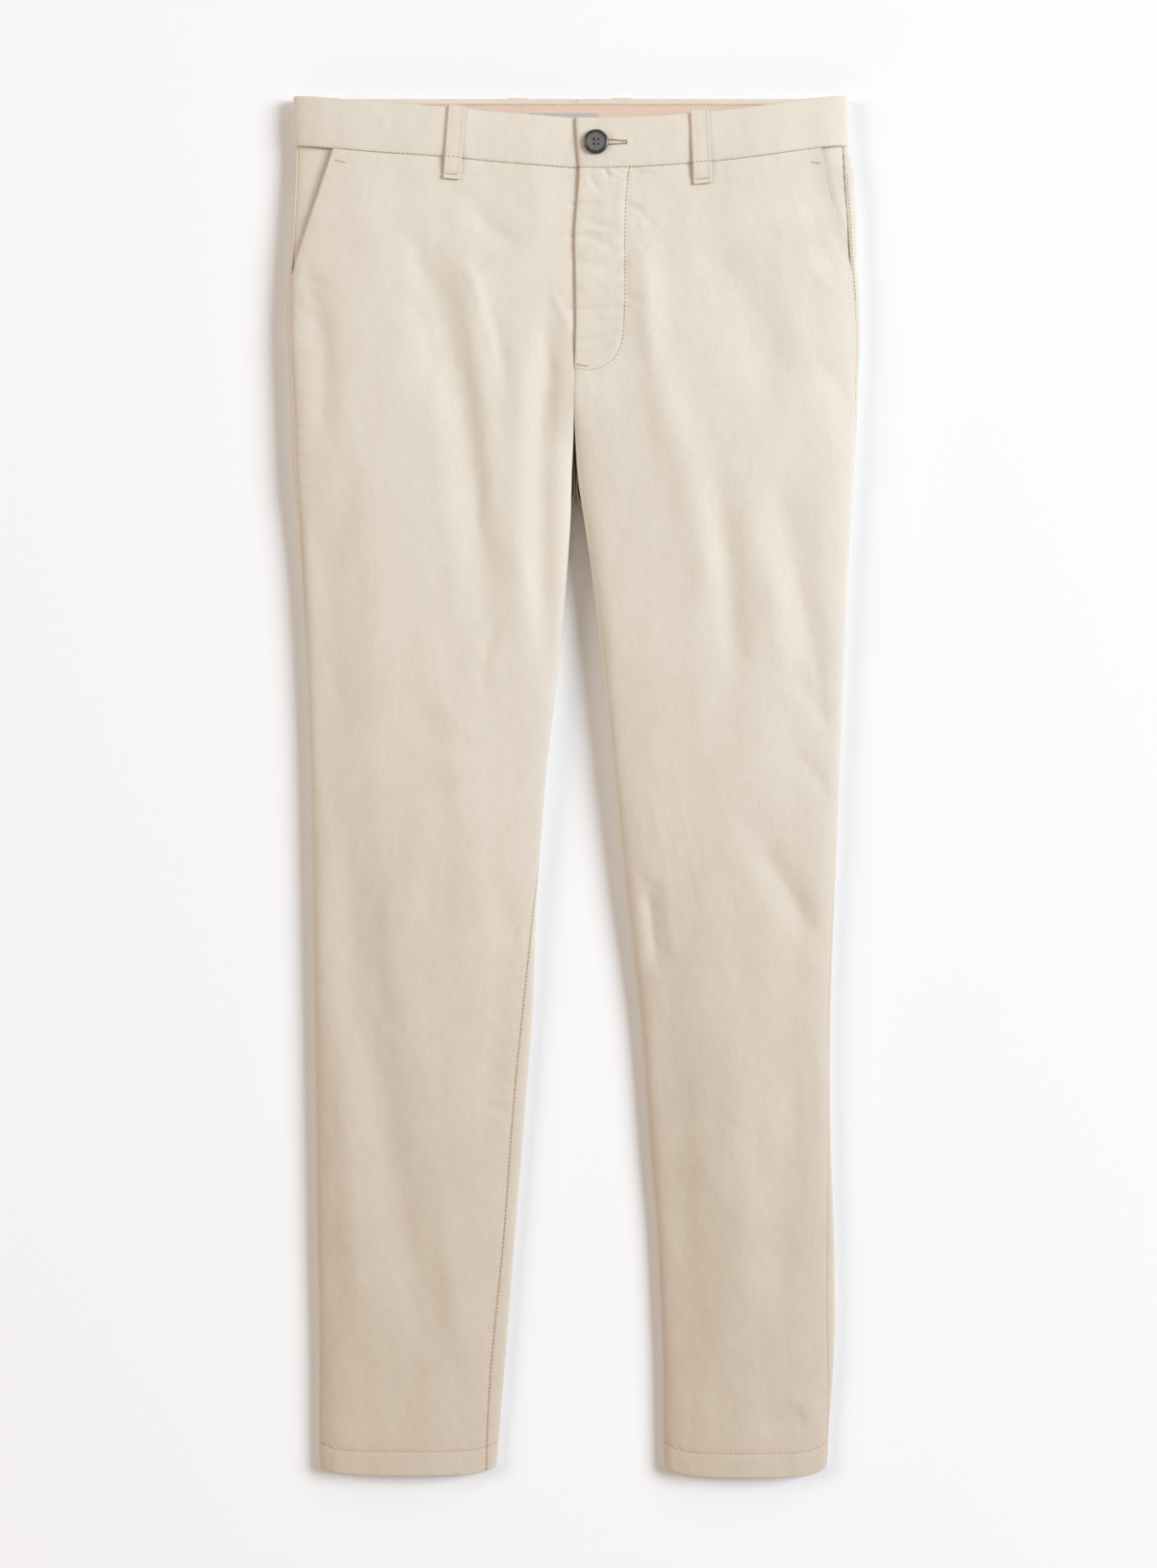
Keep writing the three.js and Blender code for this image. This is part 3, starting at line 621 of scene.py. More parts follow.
world = bpy.data.worlds.new("warm surround")
world.use_nodes = True
world.node_tree.nodes.clear()
glow = {"Color": srgb(SURROUND_COLOR), "Strength": SURROUND_STRENGTH}
node(world.node_tree, "ShaderNodeOutputWorld", {"Surface": output(world.node_tree, "ShaderNodeBackground", glow)})
bpy.context.scene.world = world
print("lamps:", ", ".join(f"{name} {lamp[2]} W" for name, lamp in LIGHTS.items()))

# %% Floor
FLOOR_HALF = 3000
FLOOR_Z = -0.1

painted, tree = empty_material("matt white painted board")
finished(tree, Base_Color=srgb("#f8fafd"), Roughness=0.95)
corners = [(sx * FLOOR_HALF, sy * FLOOR_HALF, FLOOR_Z) for sx, sy in ((-1, -1), (1, -1), (1, 1), (-1, 1))]
mesh_object("floor", corners, [(0, 1, 2, 3)], painted)
print("floor:", 2 * FLOOR_HALF * MM, "m wide, at", FLOOR_Z, "mm")

# %% [markdown]
# ## Cotton twill
# Chino cloth is a light combed cotton twill, dyed, washed soft, and lightly brushed: fine diagonal ribs, no
# gloss, a faint bloom of fibre ends, small uneven threads, and a soft crumple that no iron takes out. The ribs
# of the real cloth are about 0.5 mm apart, too fine for this picture, so they are drawn 1.2 mm apart. Near its
# edges and seams the cloth gets a painted warm shade, and towards the hems a painted shade, darker and warmer.

# %% The twill materials
RIB = 0.0012
RIB_ANGLE = math.radians(-58)
WAVE_TURN = math.pi / 10
SLUB_LENGTH, SLUB_STRETCH = 0.0035, (1, 0.25, 1)
CRUMPLE_LENGTH = 0.009
CLOUDS_PER_METRE = 22
SLUB_SHARE, THREAD_SHARE, EDGE_SHADE_SHARE = 0.62, 0.6, 0.3
# Painted shade: the warm tan mixed in along edges and seams.
EDGE_SHADE_COLOR = "#c9b096"
WEAVE_DEPTH, CRUMPLE_DEPTH = 0.0001, 0.0007
# Painted shade: where the darkening towards the hems starts and where it is full, in metres of Y.
HEM_SHADE_FROM_Y, HEM_SHADE_TO_Y = 0.36, -0.54


def twill(name, pale, deep, shaded_hem_pale=None, shaded_hem_deep=None, crumple=0.5):
    """A woven cotton, with its pale and deep thread colours at the waist, and darker ones towards the hems, which
    are painted shade.
    """
    made, tree = empty_material(name)
    cloth = output(tree, "ShaderNodeUVMap", uv_map="cloth")
    rib_wave = {"Vector": mapped(tree, cloth, turn=RIB_ANGLE), "Scale": WAVE_TURN / RIB, "Distortion": 0.8}
    ribs = node(tree, "ShaderNodeTexWave", rib_wave).outputs["Fac"]
    slub = noise(tree, mapped(tree, cloth, SLUB_STRETCH), 1 / SLUB_LENGTH, 3.0)
    cloud = noise(tree, cloth, CLOUDS_PER_METRE, 4.0)
    crumpled = noise(tree, cloth, 1 / CRUMPLE_LENGTH, 2.0)
    threads = output(tree, "ShaderNodeMix", {0: SLUB_SHARE, 2: ribs, 3: slub})
    tone = output(tree, "ShaderNodeMix", {0: THREAD_SHARE, 2: cloud, 3: threads})
    place = node(tree, "ShaderNodeTexCoord").outputs["Object"]
    along_y = node(tree, "ShaderNodeSeparateXYZ", {0: place}).outputs["Y"]
    # Painted shade: the colours go darker and warmer from the waist to the hems.
    painted_hem_shade = ramp(tree, along_y, HEM_SHADE_FROM_Y, HEM_SHADE_TO_Y)
    deeps = mixed(tree, painted_hem_shade, deep, shaded_hem_deep or deep)
    pales = mixed(tree, painted_hem_shade, pale, shaded_hem_pale or pale)
    dyed = mixed(tree, tone, deeps, pales)
    # Painted shade along the edges: the tan mixed in by the edge attribute.
    wear = node(tree, "ShaderNodeAttribute", attribute_name="wear").outputs["Fac"]
    painted_edge_share = output(tree, "ShaderNodeMath", {0: wear, 1: EDGE_SHADE_SHARE}, operation="MULTIPLY")
    color = mixed(tree, painted_edge_share, dyed, EDGE_SHADE_COLOR)
    weave = bump(tree, threads, 0.9, WEAVE_DEPTH)
    surface = bump(tree, crumpled, crumple, CRUMPLE_DEPTH, Normal=weave)
    finished(
        tree,
        Base_Color=color,
        Roughness=0.92,
        IOR=1.47,
        Specular_IOR_Level=0.2,
        Sheen_Weight=0.12,
        Sheen_Roughness=0.5,
        Normal=surface,
    )
    return made


# The last two colours are painted shade: the same cloth, darker and warmer at the hems.
CREAM = twill("washed stone cotton twill", "#ece7dc", "#d7cfc1", "#d9cebe", "#c3b3a2")
PEACH = twill("brushed peach cotton twill", "#ead7c6", "#dbc3af")
TAPE = twill("plain grey woven tape", "#cbc8c6", "#b5b2b0", crumple=0.1)
print("woven:", ", ".join(made.name for made in (CREAM, PEACH, TAPE)))

# %% [markdown]
# ## Finer creases
# The large folds are in the sections. These finer ones are what makes cloth look like cloth: short drags that
# start at a seam or at the end of the fly, the press line of a pocket bag beneath the front, and the small
# crisp puckers of a fly that has been buttoned and sat in. They are placed in the garment's own
# millimetres, each with its own length, bow and crispness.

# %% The finer creases
CREASES = table(
    FOLD_COLUMNS,
    (-103, 454, -59, 441, 1, 5, 0.5, 0.3),
    (-85, 406, -58, 312, -3, 5, -1.3, 0.5),
    (-68, 371, -49, 297, -2, 6, 1.2, 0.4),
    (-125, 424, -114, 376, -2, 7, 1.2, 0.3),
    (-126, 380, -104, 300, -3, 8, 1.5, 0.4),
    (-19, 377, 0, 340, -1, 2.6, -1.1, 0.8),
    (-24, 360, -16, 300, 0, 5, 1.0, 0.3),
    (-209, 391, -184, 378, 1, 4, 0.6, 0.5),
    (-213, 347, -193, 338, 1, 4, 0.6, 0.5),
    (-210, 372, -190, 360, 0, 4, -0.6, 0.5),
    (-184, 243, -85, 243, 1, 2.0, -0.2, 0.8),
    (-126, 64, -66, 12, 3, 14, 1.4, 0),
    (-70, 250, -72, 180, 2, 5, 1.0, 0.5),
    (-41, 190, -26, 84, 0, 5, -0.9, 0.4),
    (-58, 130, -71, 68, 2, 6, 1.4, 0.4),
    (-31, -92, -51, -124, 2, 3.6, 0.9, 0.5),
    (-37, -158, -60, -180, 2, 3.6, 0.8, 0.5),
    (-41, -198, -71, -216, 2, 3.6, 0.8, 0.5),
    (-46, -252, -76, -242, 1, 3.2, 0.8, 0.7),
    (-45, -263, -68, -268, 0, 2.6, -0.9, 0.7),
    (-150, -60, -142, -200, 3, 9, 1.2, 0.1),
    (-110, 10, -128, -120, 0, 10, -1.0, 0),
    (-96, -300, -84, -440, 3, 9, -1.0, 0),
    (-150, -470, -110, -440, 2, 7, 0.7, 0.2),
    (27, 469, 30, 461, 0, 1.6, -0.9, 0.8),
    (33, 466, 53, 465, 1, 2.2, 0.8, 0.5),
    (24, 462, 33, 464, 0, 1.6, 0.5, 0.8),
    (36, 445, 56, 436, 2, 3.2, 0.45, 0.5),
    (42, 436, 56, 422, -2, 4, -0.7, 0.3),
    (-8, 441, 24, 443, 0, 1.7, 1.7, 1),
    (-9, 417, 24, 419, 0.5, 1.8, 1.9, 1),
    (4, 420, 34, 408, 1, 3.0, 0.9, 0.4),
    (-4, 396, 28, 397, 0, 1.9, 0.9, 1),
    (-9, 361, 46, 364, 1, 2.0, 1.7, 1),
    (-6, 355, 26, 357, 0, 1.7, 1.3, 1),
    (-8, 348, 38, 355, 1, 2.2, 1.6, 1),
    (-5, 334, 44, 346, 1, 2.4, 1.4, 1),
    (-2, 325, 34, 337, 1, 2.3, 1.2, 1),
    (2, 402, 38, 414, 0, 3.4, -1.1, 0.5),
    (0, 376, 40, 386, 0, 3.8, -1.1, 0.5),
    (16, 388, 44, 398, 0, 2.6, 1.1, 0.6),
    (4, 430, 36, 422, 0, 3.0, 1.0, 0.4),
    (34, 402, 60, 410, 0, 2.8, 1.1, 0.6),
    (35, 372, 56, 366, 0, 2.8, 0.9, 0.6),
    (34, 440, 66, 426, 2, 3.4, 1.0, 0.4),
    (23, 471, 29, 461, 0, 1.5, 1.5, 0.6),
    (29, 461, 43, 466, 1, 1.8, 1.1, 0.6),
    (41, 470, 66, 464, 1, 2.2, 0.8, 0.5),
    (40, 444, 56, 435, 1, 2.2, 0.9, 0.5),
    (12, 466, 20, 452, 1, 2.0, 0.7, 0.4),
    (52, 434, 58, 298, -2, 8, -1.1, 0.1),
    (175, 398, 199, 374, -1, 5, -0.6, 0.4),
    (180, 416, 201, 391, -1, 5, 0.7, 0.4),
    (150, 420, 182, 436, 1, 8, -0.7, 0.1),
    (106, 216, 122, 88, -2, 9, 1.2, 0.3),
    (160, 192, 193, 48, -3, 5, 0.9, 0.5),
    (138, -44, 186, -122, -3, 9, 1.8, 0.2),
    (156, 96, 200, 34, -4, 9, 1.8, 0.3),
    (164, 30, 200, -18, -3, 7, 1.4, 0.4),
    (150, 176, 168, 60, 2, 10, -1.2, 0.1),
    (58, -76, 64, -134, 1, 4, 0.9, 0.5),
    (69, -58, 77, -136, 1, 5, -0.5, 0.3),
    (43, -60, 70, -84, 2, 3.4, 0.5, 0.6),
    (50, -66, 66, -150, -2, 7, 0.6, 0.4),
    (57, 6, 77, -84, 1, 1.5, -0.35, 1),
    (76, 20, 102, -106, 1, 1.5, -0.3, 1),
    (140, -492, 180, -478, 2, 9, 1.2, 0.2),
    (168, -462, 192, -486, 1, 8, -0.8, 0.1),
    (174, 238, 209, 236, 1, 1.8, -0.35, 0.8),
    (130, -250, 160, -330, 2, 12, 0.9, 0),
    (-178, 330, -164, -260, 0, 18, 1.8, 0),
    (-194, 376, -192, 256, -3, 9, 1.6, 0.1),
    (176, 300, 166, -60, 0, 18, 2.2, 0),
    (168, 20, 166, -330, 0, 16, 1.4, 0),
    (96, -200, 110, -330, 2, 10, -0.8, 0),
)

RIPPLE_SEED = 7
RIPPLE_WAVES = 36
RIPPLE_LENGTHS = (9, 90)
RIPPLE_HEIGHT = 0.42
RIPPLE_GROWTH = 1.15
HEADING_SPREAD = 0.75
ALONG_SHARE = 0.6
WANDER, WANDER_LENGTH = 1.3, 71
BUTTON_X, BUTTON_Y = 17.4, 489.3
BUTTON_REST = 26
EDGE_ROOM = 2, 16


def ripple(x, y):
    """A gentle unevenness, from a few dozen long waves, most of which run along the legs."""
    random = np.random.default_rng(RIPPLE_SEED)
    height = np.zeros(np.shape(x))
    for _ in range(RIPPLE_WAVES):
        length = math.exp(random.uniform(*np.log(RIPPLE_LENGTHS)))
        heading, start = random.normal(0, HEADING_SPREAD), random.uniform(0, 2 * math.pi)
        turn = 2 * math.pi / length * (x * math.cos(heading) + y * math.sin(heading) * ALONG_SHARE)
        wave = np.sin(turn + start + WANDER * np.sin(y / WANDER_LENGTH + start))
        height += (length / RIPPLE_LENGTHS[1]) ** RIPPLE_GROWTH * wave
    evened = height / (math.sqrt(RIPPLE_WAVES) / 2)
    return RIPPLE_HEIGHT * evened * (1 - bell(np.hypot(x - BUTTON_X, y - BUTTON_Y), BUTTON_REST))


def creased(leg, points, y):
    """The points with the finer creases, which die out where the cloth rolls over at its edges."""
    x, seen_y = points[..., 0], points[..., 1]
    outer_room = smooth(np.abs(x - leg.outer(y)), *EDGE_ROOM)
    inner_room = lerp(1, smooth(np.abs(x - leg.inner(y)), *EDGE_ROOM), split_at(y))
    points = points.copy()
    points[..., 2] += (ripple(x, seen_y) - fold_depth(CREASES, x, seen_y)) * outer_room * inner_room
    return points


print("creases:", len(CREASES["x0"]))

# %% [markdown]
# ## Seams pull the cloth in
# A row of stitches is a little shorter than the cloth it holds. So beside each seam the cloth dips into the
# row and stands up in small uneven waves, which die out within a centimetre. These waves, more than any
# colour, are what shows that a seam is sewn and not drawn.


# %% Puckers and the hem
PUCKER_DRIFTS = ((1.7, 27, 0), (1.1, 11.3, 2))
PUCKER_LEAN = 0.12
PUCKER_SWELL, PUCKER_SWELL_LENGTH = (0.6, 0.4), 37
HEM_FULLNESS = 0.2
HEM_GROOVE, HEM_GROOVE_HALF = 0.5, 1.4
ROPING = 0.14, 5
ROPE_PITCH, ROPE_SLANT = 6.5, 0.9
ROPE_DRIFT, ROPE_DRIFT_LENGTH = 1.5, 19


def pucker(away, along_seam, reach, height, pitch=11):
    """Uneven waves along a seam, where away is the distance from it."""
    drift = sum(turn * np.sin(along_seam / length + start) for turn, length, start in PUCKER_DRIFTS)
    wave = np.sin(2 * math.pi * along_seam / pitch + drift + PUCKER_LEAN * away)
    strength = PUCKER_SWELL[0] + PUCKER_SWELL[1] * np.sin(along_seam / PUCKER_SWELL_LENGTH + 1)
    return strength * wave * fade(away, height, reach)


def hem_rise(x, y):
    """A turned-up hem: full between its fold and its stitches, and pulled in along them."""
    above = y - HEM_Y - HEM_DEPTH
    full = HEM_FULLNESS * np.sin(math.pi * np.clip((y - HEM_Y) / HEM_DEPTH, 0, 1))
    drift = ROPE_DRIFT * np.sin(x / ROPE_DRIFT_LENGTH)
    rope = np.sin(2 * math.pi * (x + ROPE_SLANT * y) / ROPE_PITCH + drift)
    return full - HEM_GROOVE * bell(above, HEM_GROOVE_HALF) + rope * fade(np.abs(above), *ROPING)


print("hem rise at its row:", hem_rise(-120, HEM_Y + HEM_DEPTH).round(2), "mm")

# %% [markdown]
# ## The fly
# The left front laps over the right one, and one row of stitches in the shape of a J holds the fly's second
# layer. So the cloth between that row and the edge is double: it stands a little higher, and its short
# wrinkles run from the edge to the row.

# %% The J of the fly
FLY_STITCHES = (
    (42.8, 470),
    (41, 455),
    (39.8, 436),
    (39.3, 415),
    (39.6, 387),
    (39, 359),
    (38, 342),
    (35, 331),
    (29.4, 322.8),
    (20.4, 317.3),
    (11, 315.6),
    (2.6, 316.5),
)
FLY_DOUBLE, FLY_DOUBLE_STEP = 0.3, 3
FLY_GROOVE, FLY_GROOVE_HALF = 0.45, 1.3
FLY_PUCKER = {"reach": 6, "height": 0.12, "pitch": 12}
NEAR_FLY_X, NEAR_FLY_Y = (-30, 70), 290
PATH_SAMPLES = 40


def smooth_path(points, pitch=1.0):
    """Points along a smooth curve through the given ones, a pitch apart."""
    points = np.asarray(points, float)
    rows = {"at": np.arange(len(points), dtype=float)}
    for axis in range(points.shape[1]):
        rows[str(axis)] = points[:, axis]
    at = np.linspace(0, len(points) - 1, PATH_SAMPLES * len(points))
    fine = np.stack([curve(rows, "at", str(axis))(at) for axis in range(points.shape[1])], axis=-1)
    run = np.concatenate([[0], np.cumsum(np.linalg.norm(np.diff(fine, axis=0), axis=-1))])
    even = np.linspace(0, run[-1], max(int(run[-1] / pitch), 2))
    return np.stack([np.interp(even, run, fine[:, axis]) for axis in range(points.shape[1])], axis=-1)


def fly_rise(x, y):
    """How far the double cloth of the fly stands up, with the groove of its stitches."""
    path = smooth_path(FLY_STITCHES, 2.0)
    near = (x > NEAR_FLY_X[0]) & (x < NEAR_FLY_X[1]) & (y > NEAR_FLY_Y)
    rise = np.zeros(x.shape)
    px, py = x[near][:, None], y[near][:, None]
    away = np.hypot(px - path[:, 0], py - path[:, 1]).min(axis=1)
    upward = path[np.argsort(path[:, 1])]
    inside = (x[near] < np.interp(y[near], upward[:, 1], upward[:, 0])) & (y[near] > path[:, 1].min())
    signed = np.where(inside, away, -away)
    rise[near] = FLY_DOUBLE * smooth(signed, 0, FLY_DOUBLE_STEP) - FLY_GROOVE * bell(away, FLY_GROOVE_HALF)
    rise[near] += pucker(away, y[near], **FLY_PUCKER)
    return rise


print("J stitch:", len(smooth_path(FLY_STITCHES)), "mm")

# %% [markdown]
# ## The fronts
# Each front is one wall over its own stretch of the skin. Its outer edge is the side seam, and higher up the
# slanted mouth of the pocket, which stands a little open. Its inner edge is the inside leg seam, then the
# centre seam, then the edge of the fly. A cloth simulation could lay it out, but the photo shows exactly how
# this pair lies, so the creases are given and the seams pull on top of them.

# %% Edges of a front
CLOTH_WALL = 1.3
HEM_WALL = 2.4
SEAM_GAP = 0.45
FRONT_UNDERLAP = 13
FRONT_CELLS = (100, 440)
MOUTH_RAMP = POCKET_END_Y - 12, POCKET_END_Y + 12
MOUTH_PROUD = 0.5, 7
MOUTH_RIPPLE, MOUTH_RIPPLE_LENGTH = (0.5, 12), 7.5
FLY_EDGE_RAMP = FLY_END_Y - 6, FLY_END_Y + 6
FLY_EDGE_PROUD = 0.15, 5
SEAM_DIP = 0.45, 1.6
WAIST_DITCH = 0.6, 2.4
WAIST_PUCKER = {"reach": 6, "height": 0.12, "pitch": 9}
THIGH_Y = 60, 340
SHIN_Y = -90, -30


def front_outer(leg, y):
    """The outer edge of a front: the side seam, and the slanted pocket mouth above it."""
    seam = along(leg, side_seam(leg, y), y, SEAM_GAP / 2)
    return np.where(y <= POCKET_END_Y, seam, np.maximum(seam, p_at(leg, leg.pocket(y), y)))


def front_inner(leg, y):
    """The inner edge of a front: the inside leg seam, then the centre seam, then the edge of the fly."""
    seam = along(leg, inside_seam(leg, y), y, -SEAM_GAP / 2)
    if leg is LEFT:
        return seam
    return along(leg, seam, y, FRONT_UNDERLAP * smooth(y, FLY_END_Y + 1, FLY_END_Y + FLY_RAMP))


def cloth_thickness(y):
    """The wall's thickness: doubled in the hem, where the cloth is turned up."""
    return lerp(HEM_WALL, CLOTH_WALL, smooth(y, HEM_Y + HEM_DEPTH - 1, HEM_Y + HEM_DEPTH + 1))


print("thickness at the hem and the knee:", cloth_thickness(HEM_Y), cloth_thickness(0), "mm")


# %% The two fronts
def front_points(leg, u, y):
    """A front's outside: the skin with its creases, and what its edges and seams add."""
    p = lerp(front_outer(leg, y), front_inner(leg, y), u)
    points = creased(leg, lowered(leg, skin(leg, p, y), y), y)
    x, seen_y = points[..., 0], points[..., 1]
    run = run_along(points)
    from_outer, from_inner = run, run[:, -1:] - run
    mouth = smooth(y, *MOUTH_RAMP)
    fly = smooth(y, *FLY_EDGE_RAMP)
    rise = mouth * fade(from_outer, *MOUTH_PROUD) - (1 - mouth) * fade(from_outer, *SEAM_DIP)
    rise += pucker(from_outer, y, reach=9, height=0.22 * (1 - mouth) * smooth(y, *THIGH_Y) + 0.08)
    rise -= (1 - fly) * fade(from_inner, *SEAM_DIP)
    if leg is LEFT:
        rise += fly * fade(from_inner, *FLY_EDGE_PROUD) + fly_rise(x, seen_y)
        rise += mouth * fade(from_outer, *MOUTH_RIPPLE) * np.sin(y / MOUTH_RIPPLE_LENGTH + 1.2)
    else:
        rise += pucker(from_inner, y, reach=10, height=0.3 * (1 - smooth(y, *SHIN_Y)), pitch=9)
    below_band = WAIST_SEAM_Y - y
    rise += pucker(below_band, x, **WAIST_PUCKER) - fade(below_band, *WAIST_DITCH)
    rise += hem_rise(x, y)
    return points + normals_of(points, -leg.outward) * rise[..., None]


def panel_grid(cells, reach, fine):
    """Places across a panel and heights up it, closer together near its edges."""
    rows = HEM_Y + (WAIST_SEAM_Y - HEM_Y) * graded(cells[1], reach=0.02, fine=1.5)
    return np.meshgrid(graded(cells[0], reach, fine), rows)


for leg in LEGS:
    u, y = panel_grid(FRONT_CELLS, reach=0.05, fine=1.5)
    add_piece(f"front_{leg.name}", front_points(leg, u, y), y, cloth_thickness(y), -leg.outward, CREAM)

# %% [markdown]
# ## The backs
# The backs lie on the table, so they are flat beneath, and only their edges roll up and over: a narrow strip of
# each shows beside a side seam, and one beside the wearer's right inside leg seam. Where they rest, the small
# creases are pressed upwards and never through the table.

# %% The two backs
BACK_CELLS = (72, 300)
BACK_ROOM = 12, 40
BACK_HOLLOW = 0.6
BACK_RIPPLE_SHIFT = 500
BACK_PUCKERED_Y = 200, 360
BACK_CREASES = table(
    FOLD_COLUMNS,
    (-150, 300, -60, 205, 8, 10, 1.2, 0.2),
    (150, 296, 60, 208, -8, 10, 1.2, 0.2),
    (-30, 330, -60, 120, 6, 9, 1.0, 0.2),
    (32, 322, 66, 118, -6, 9, 1.0, 0.2),
    (-150, 60, -96, -40, 5, 10, 1.1, 0.1),
    (150, 44, 96, -52, -5, 10, 1.1, 0.1),
    (-160, 20, -70, 10, 3, 6, 0.8, 0.4),
    (160, 6, 80, 0, -3, 6, 0.8, 0.4),
    (-140, -250, -120, -460, 3, 12, 0.8, 0),
    (134, -260, 118, -460, -3, 12, 0.8, 0),
)


def back_points(leg, u, y):
    """A back's outside: the skin, with hollows that rise from the table and its seams."""
    outer = along(leg, side_seam(leg, y), y, -SEAM_GAP / 2)
    inner = along(leg, inside_seam(leg, y) - 2, y, SEAM_GAP / 2)
    points = skin(leg, lerp(outer, inner, u), y)
    run = run_along(points)
    from_outer, from_inner = run, run[:, -1:] - run
    x = points[..., 0]
    hollows = fold_depth(BACK_CREASES, x, y) + BACK_HOLLOW + ripple(x + BACK_RIPPLE_SHIFT, y)
    rise = -np.maximum(hollows, 0) * smooth(np.minimum(from_outer, from_inner), *BACK_ROOM)
    rise -= fade(from_outer, *SEAM_DIP) + fade(from_inner, *SEAM_DIP)
    near_pocket = smooth(y, *BACK_PUCKERED_Y) if leg is LEFT else 0.3
    rise += pucker(from_outer, y, reach=7, height=0.28 * near_pocket + 0.05, pitch=9)
    rise += pucker(from_inner, y, reach=7, height=0.18, pitch=9)
    rise += hem_rise(x, y) - fade(WAIST_SEAM_Y - y, *WAIST_DITCH)
    points = points + normals_of(points, leg.outward) * rise[..., None]
    points[..., 2] = np.maximum(points[..., 2], 0)
    return points


for leg in LEGS:
    u, y = panel_grid(BACK_CELLS, reach=0.08, fine=3)
    add_piece(f"back_{leg.name}", back_points(leg, u, y), y, cloth_thickness(y), leg.outward, CREAM)

# %% [markdown]
# ## The waistband
# The band is a folded strip, so it is thicker than the panels and stands a little proud of them. It is full
# along its middle and pulled in along the waist seam. Each half runs from the centre front, round the side, to
# the centre back, and the wearer's left end laps over the right one.

# %% The band's two halves
BAND_WALL = 2.0
BAND_UNDERLAP = 30
BAND_CELLS = (230, 26)
BAND_TOP_TRIM = 0.6
BAND_FULLNESS = 0.45
BAND_DITCH = 0.6, 1.5
BAND_WAVES, BAND_WAVE_LENGTH = 0.22, 17


def band_points(leg, u, y):
    """Half of the band's outside: the skin, full along its middle."""
    start = along(leg, np.ones_like(y), y, BAND_UNDERLAP if leg is RIGHT else -SEAM_GAP / 2)
    end = along(leg, -np.ones_like(y), y, SEAM_GAP / 2)
    p = lerp(start, end, u)
    points = skin(leg, p, y)
    front = creased(leg, lowered(leg, points.copy(), y), y)
    points = np.where((p > 0)[..., None], front, points)
    t = (y - WAIST_SEAM_Y) / BAND_HEIGHT
    middle = np.sin(math.pi * t)
    waves = BAND_WAVES * np.sin(run_along(points) / BAND_WAVE_LENGTH + 3 * t) * middle
    rise = BAND_PROUD + BAND_FULLNESS * middle - fade(y - WAIST_SEAM_Y, *BAND_DITCH) + np.where(p > 0, waves, 0)
    return points + normals_of(points, leg.outward) * rise[..., None]


for leg in LEGS:
    ends = WAIST_SEAM_Y + SEAM_GAP / 2, BAND_TOP_Y - BAND_TOP_TRIM
    u, y = np.meshgrid(np.linspace(0, 1, BAND_CELLS[0]), np.linspace(*ends, BAND_CELLS[1]))
    add_piece(f"waistband_{leg.name}", band_points(leg, u, y), y, BAND_WALL, leg.outward, CREAM)

# %% [markdown]
# ## Inside the band
# The front of the band dips, so the inside of its back shows: a peach twill lining, stitched just below the
# top edge, and the end of a grey label, which stays blank.

# %% Lining strip and label
BAND_INSIDE = 2.15
FACING_WALL = 1.0
ON_FACING = 3.5
LABEL_WALL = 0.6
STRIP_CELL = 2
STRIP_WAVES = 0.12


def strip_wave(x):
    """The strip's own gentle waves along the band."""
    return STRIP_WAVES * np.sin(x / 13)


def add_strip(name, ends_x, ends_y, height, thickness, material, cloth="cloth"):
    """A strip that lies on the inside of the band's back."""
    spans = [np.linspace(*ends, int((ends[1] - ends[0]) / STRIP_CELL)) for ends in (ends_x, ends_y)]
    x, y = np.meshgrid(*spans)
    beneath = [skin(leg, -np.minimum(p_at(leg, x, y), 1), y)[..., 2] for leg in LEGS]
    z = np.where(x < CENTRE_BACK_X, *beneath) + height + thickness + strip_wave(x) * np.sin(y / 9)
    add_piece(name, np.stack([x, y, z], axis=-1), y, thickness, 1, material, cloth)


add_strip("waistband_facing", (-188, 186), (486, 523), BAND_INSIDE, FACING_WALL, PEACH)
add_strip("blank_label", (-32.5, 19), (491.5, 515.5), ON_FACING, LABEL_WALL, TAPE, "tape")

# %% [markdown]
# ## Pocket facings
# Behind each slanted mouth lies a facing, so that the pocket doesn't show its lining. It sags a little away
# from the mouth, which puts it in the shadow of the front's edge on the wearer's right and ripples it on the
# left, where the mouth is pulled.

# %% The two facings
FACING_DEPTH = 1.75
FACING_TUCK = 16
FACING_SAG = 1.8
FACING_RIPPLE, FACING_RIPPLE_LENGTH = 0.45, 8
FACING_CELLS = (26, 60)
FACING_UNDERLAP = -3


def facing_points(leg, u, y):
    """A facing's outside: the skin, lowered by its depth behind the mouth."""
    start = along(leg, side_seam(leg, y), y, FACING_UNDERLAP)
    end = along(leg, front_outer(leg, y), y, FACING_TUCK)
    points = creased(leg, skin(leg, lerp(start, end, u), y), y)
    depth = FACING_DEPTH + FACING_SAG * smooth(u, 0.1, 0.85) * smooth(y, POCKET_END_Y, WAIST_SEAM_Y - 60)
    if leg is LEFT:
        depth = depth + FACING_RIPPLE * np.sin(math.pi * u) * np.sin(y / FACING_RIPPLE_LENGTH + 2 * u)
    return points - normals_of(points, -leg.outward) * depth[..., None]


for leg in LEGS:
    rows = np.linspace(POCKET_END_Y - 20, WAIST_SEAM_Y, FACING_CELLS[1])
    u, y = np.meshgrid(np.linspace(0, 1, FACING_CELLS[0]), rows)
    add_piece(f"pocket_facing_{leg.name}", facing_points(leg, u, y), y, FACING_WALL, -leg.outward, CREAM)

# %% [markdown]
# ## Belt loops
# A loop is a narrow strip with both its edges folded in, so it has a raised line along each side. Its top is
# caught in the band, its foot is folded under and held by a bar tack, and between them it stands a little off
# the band. The loops on the back lie beneath it, and only their tips show.

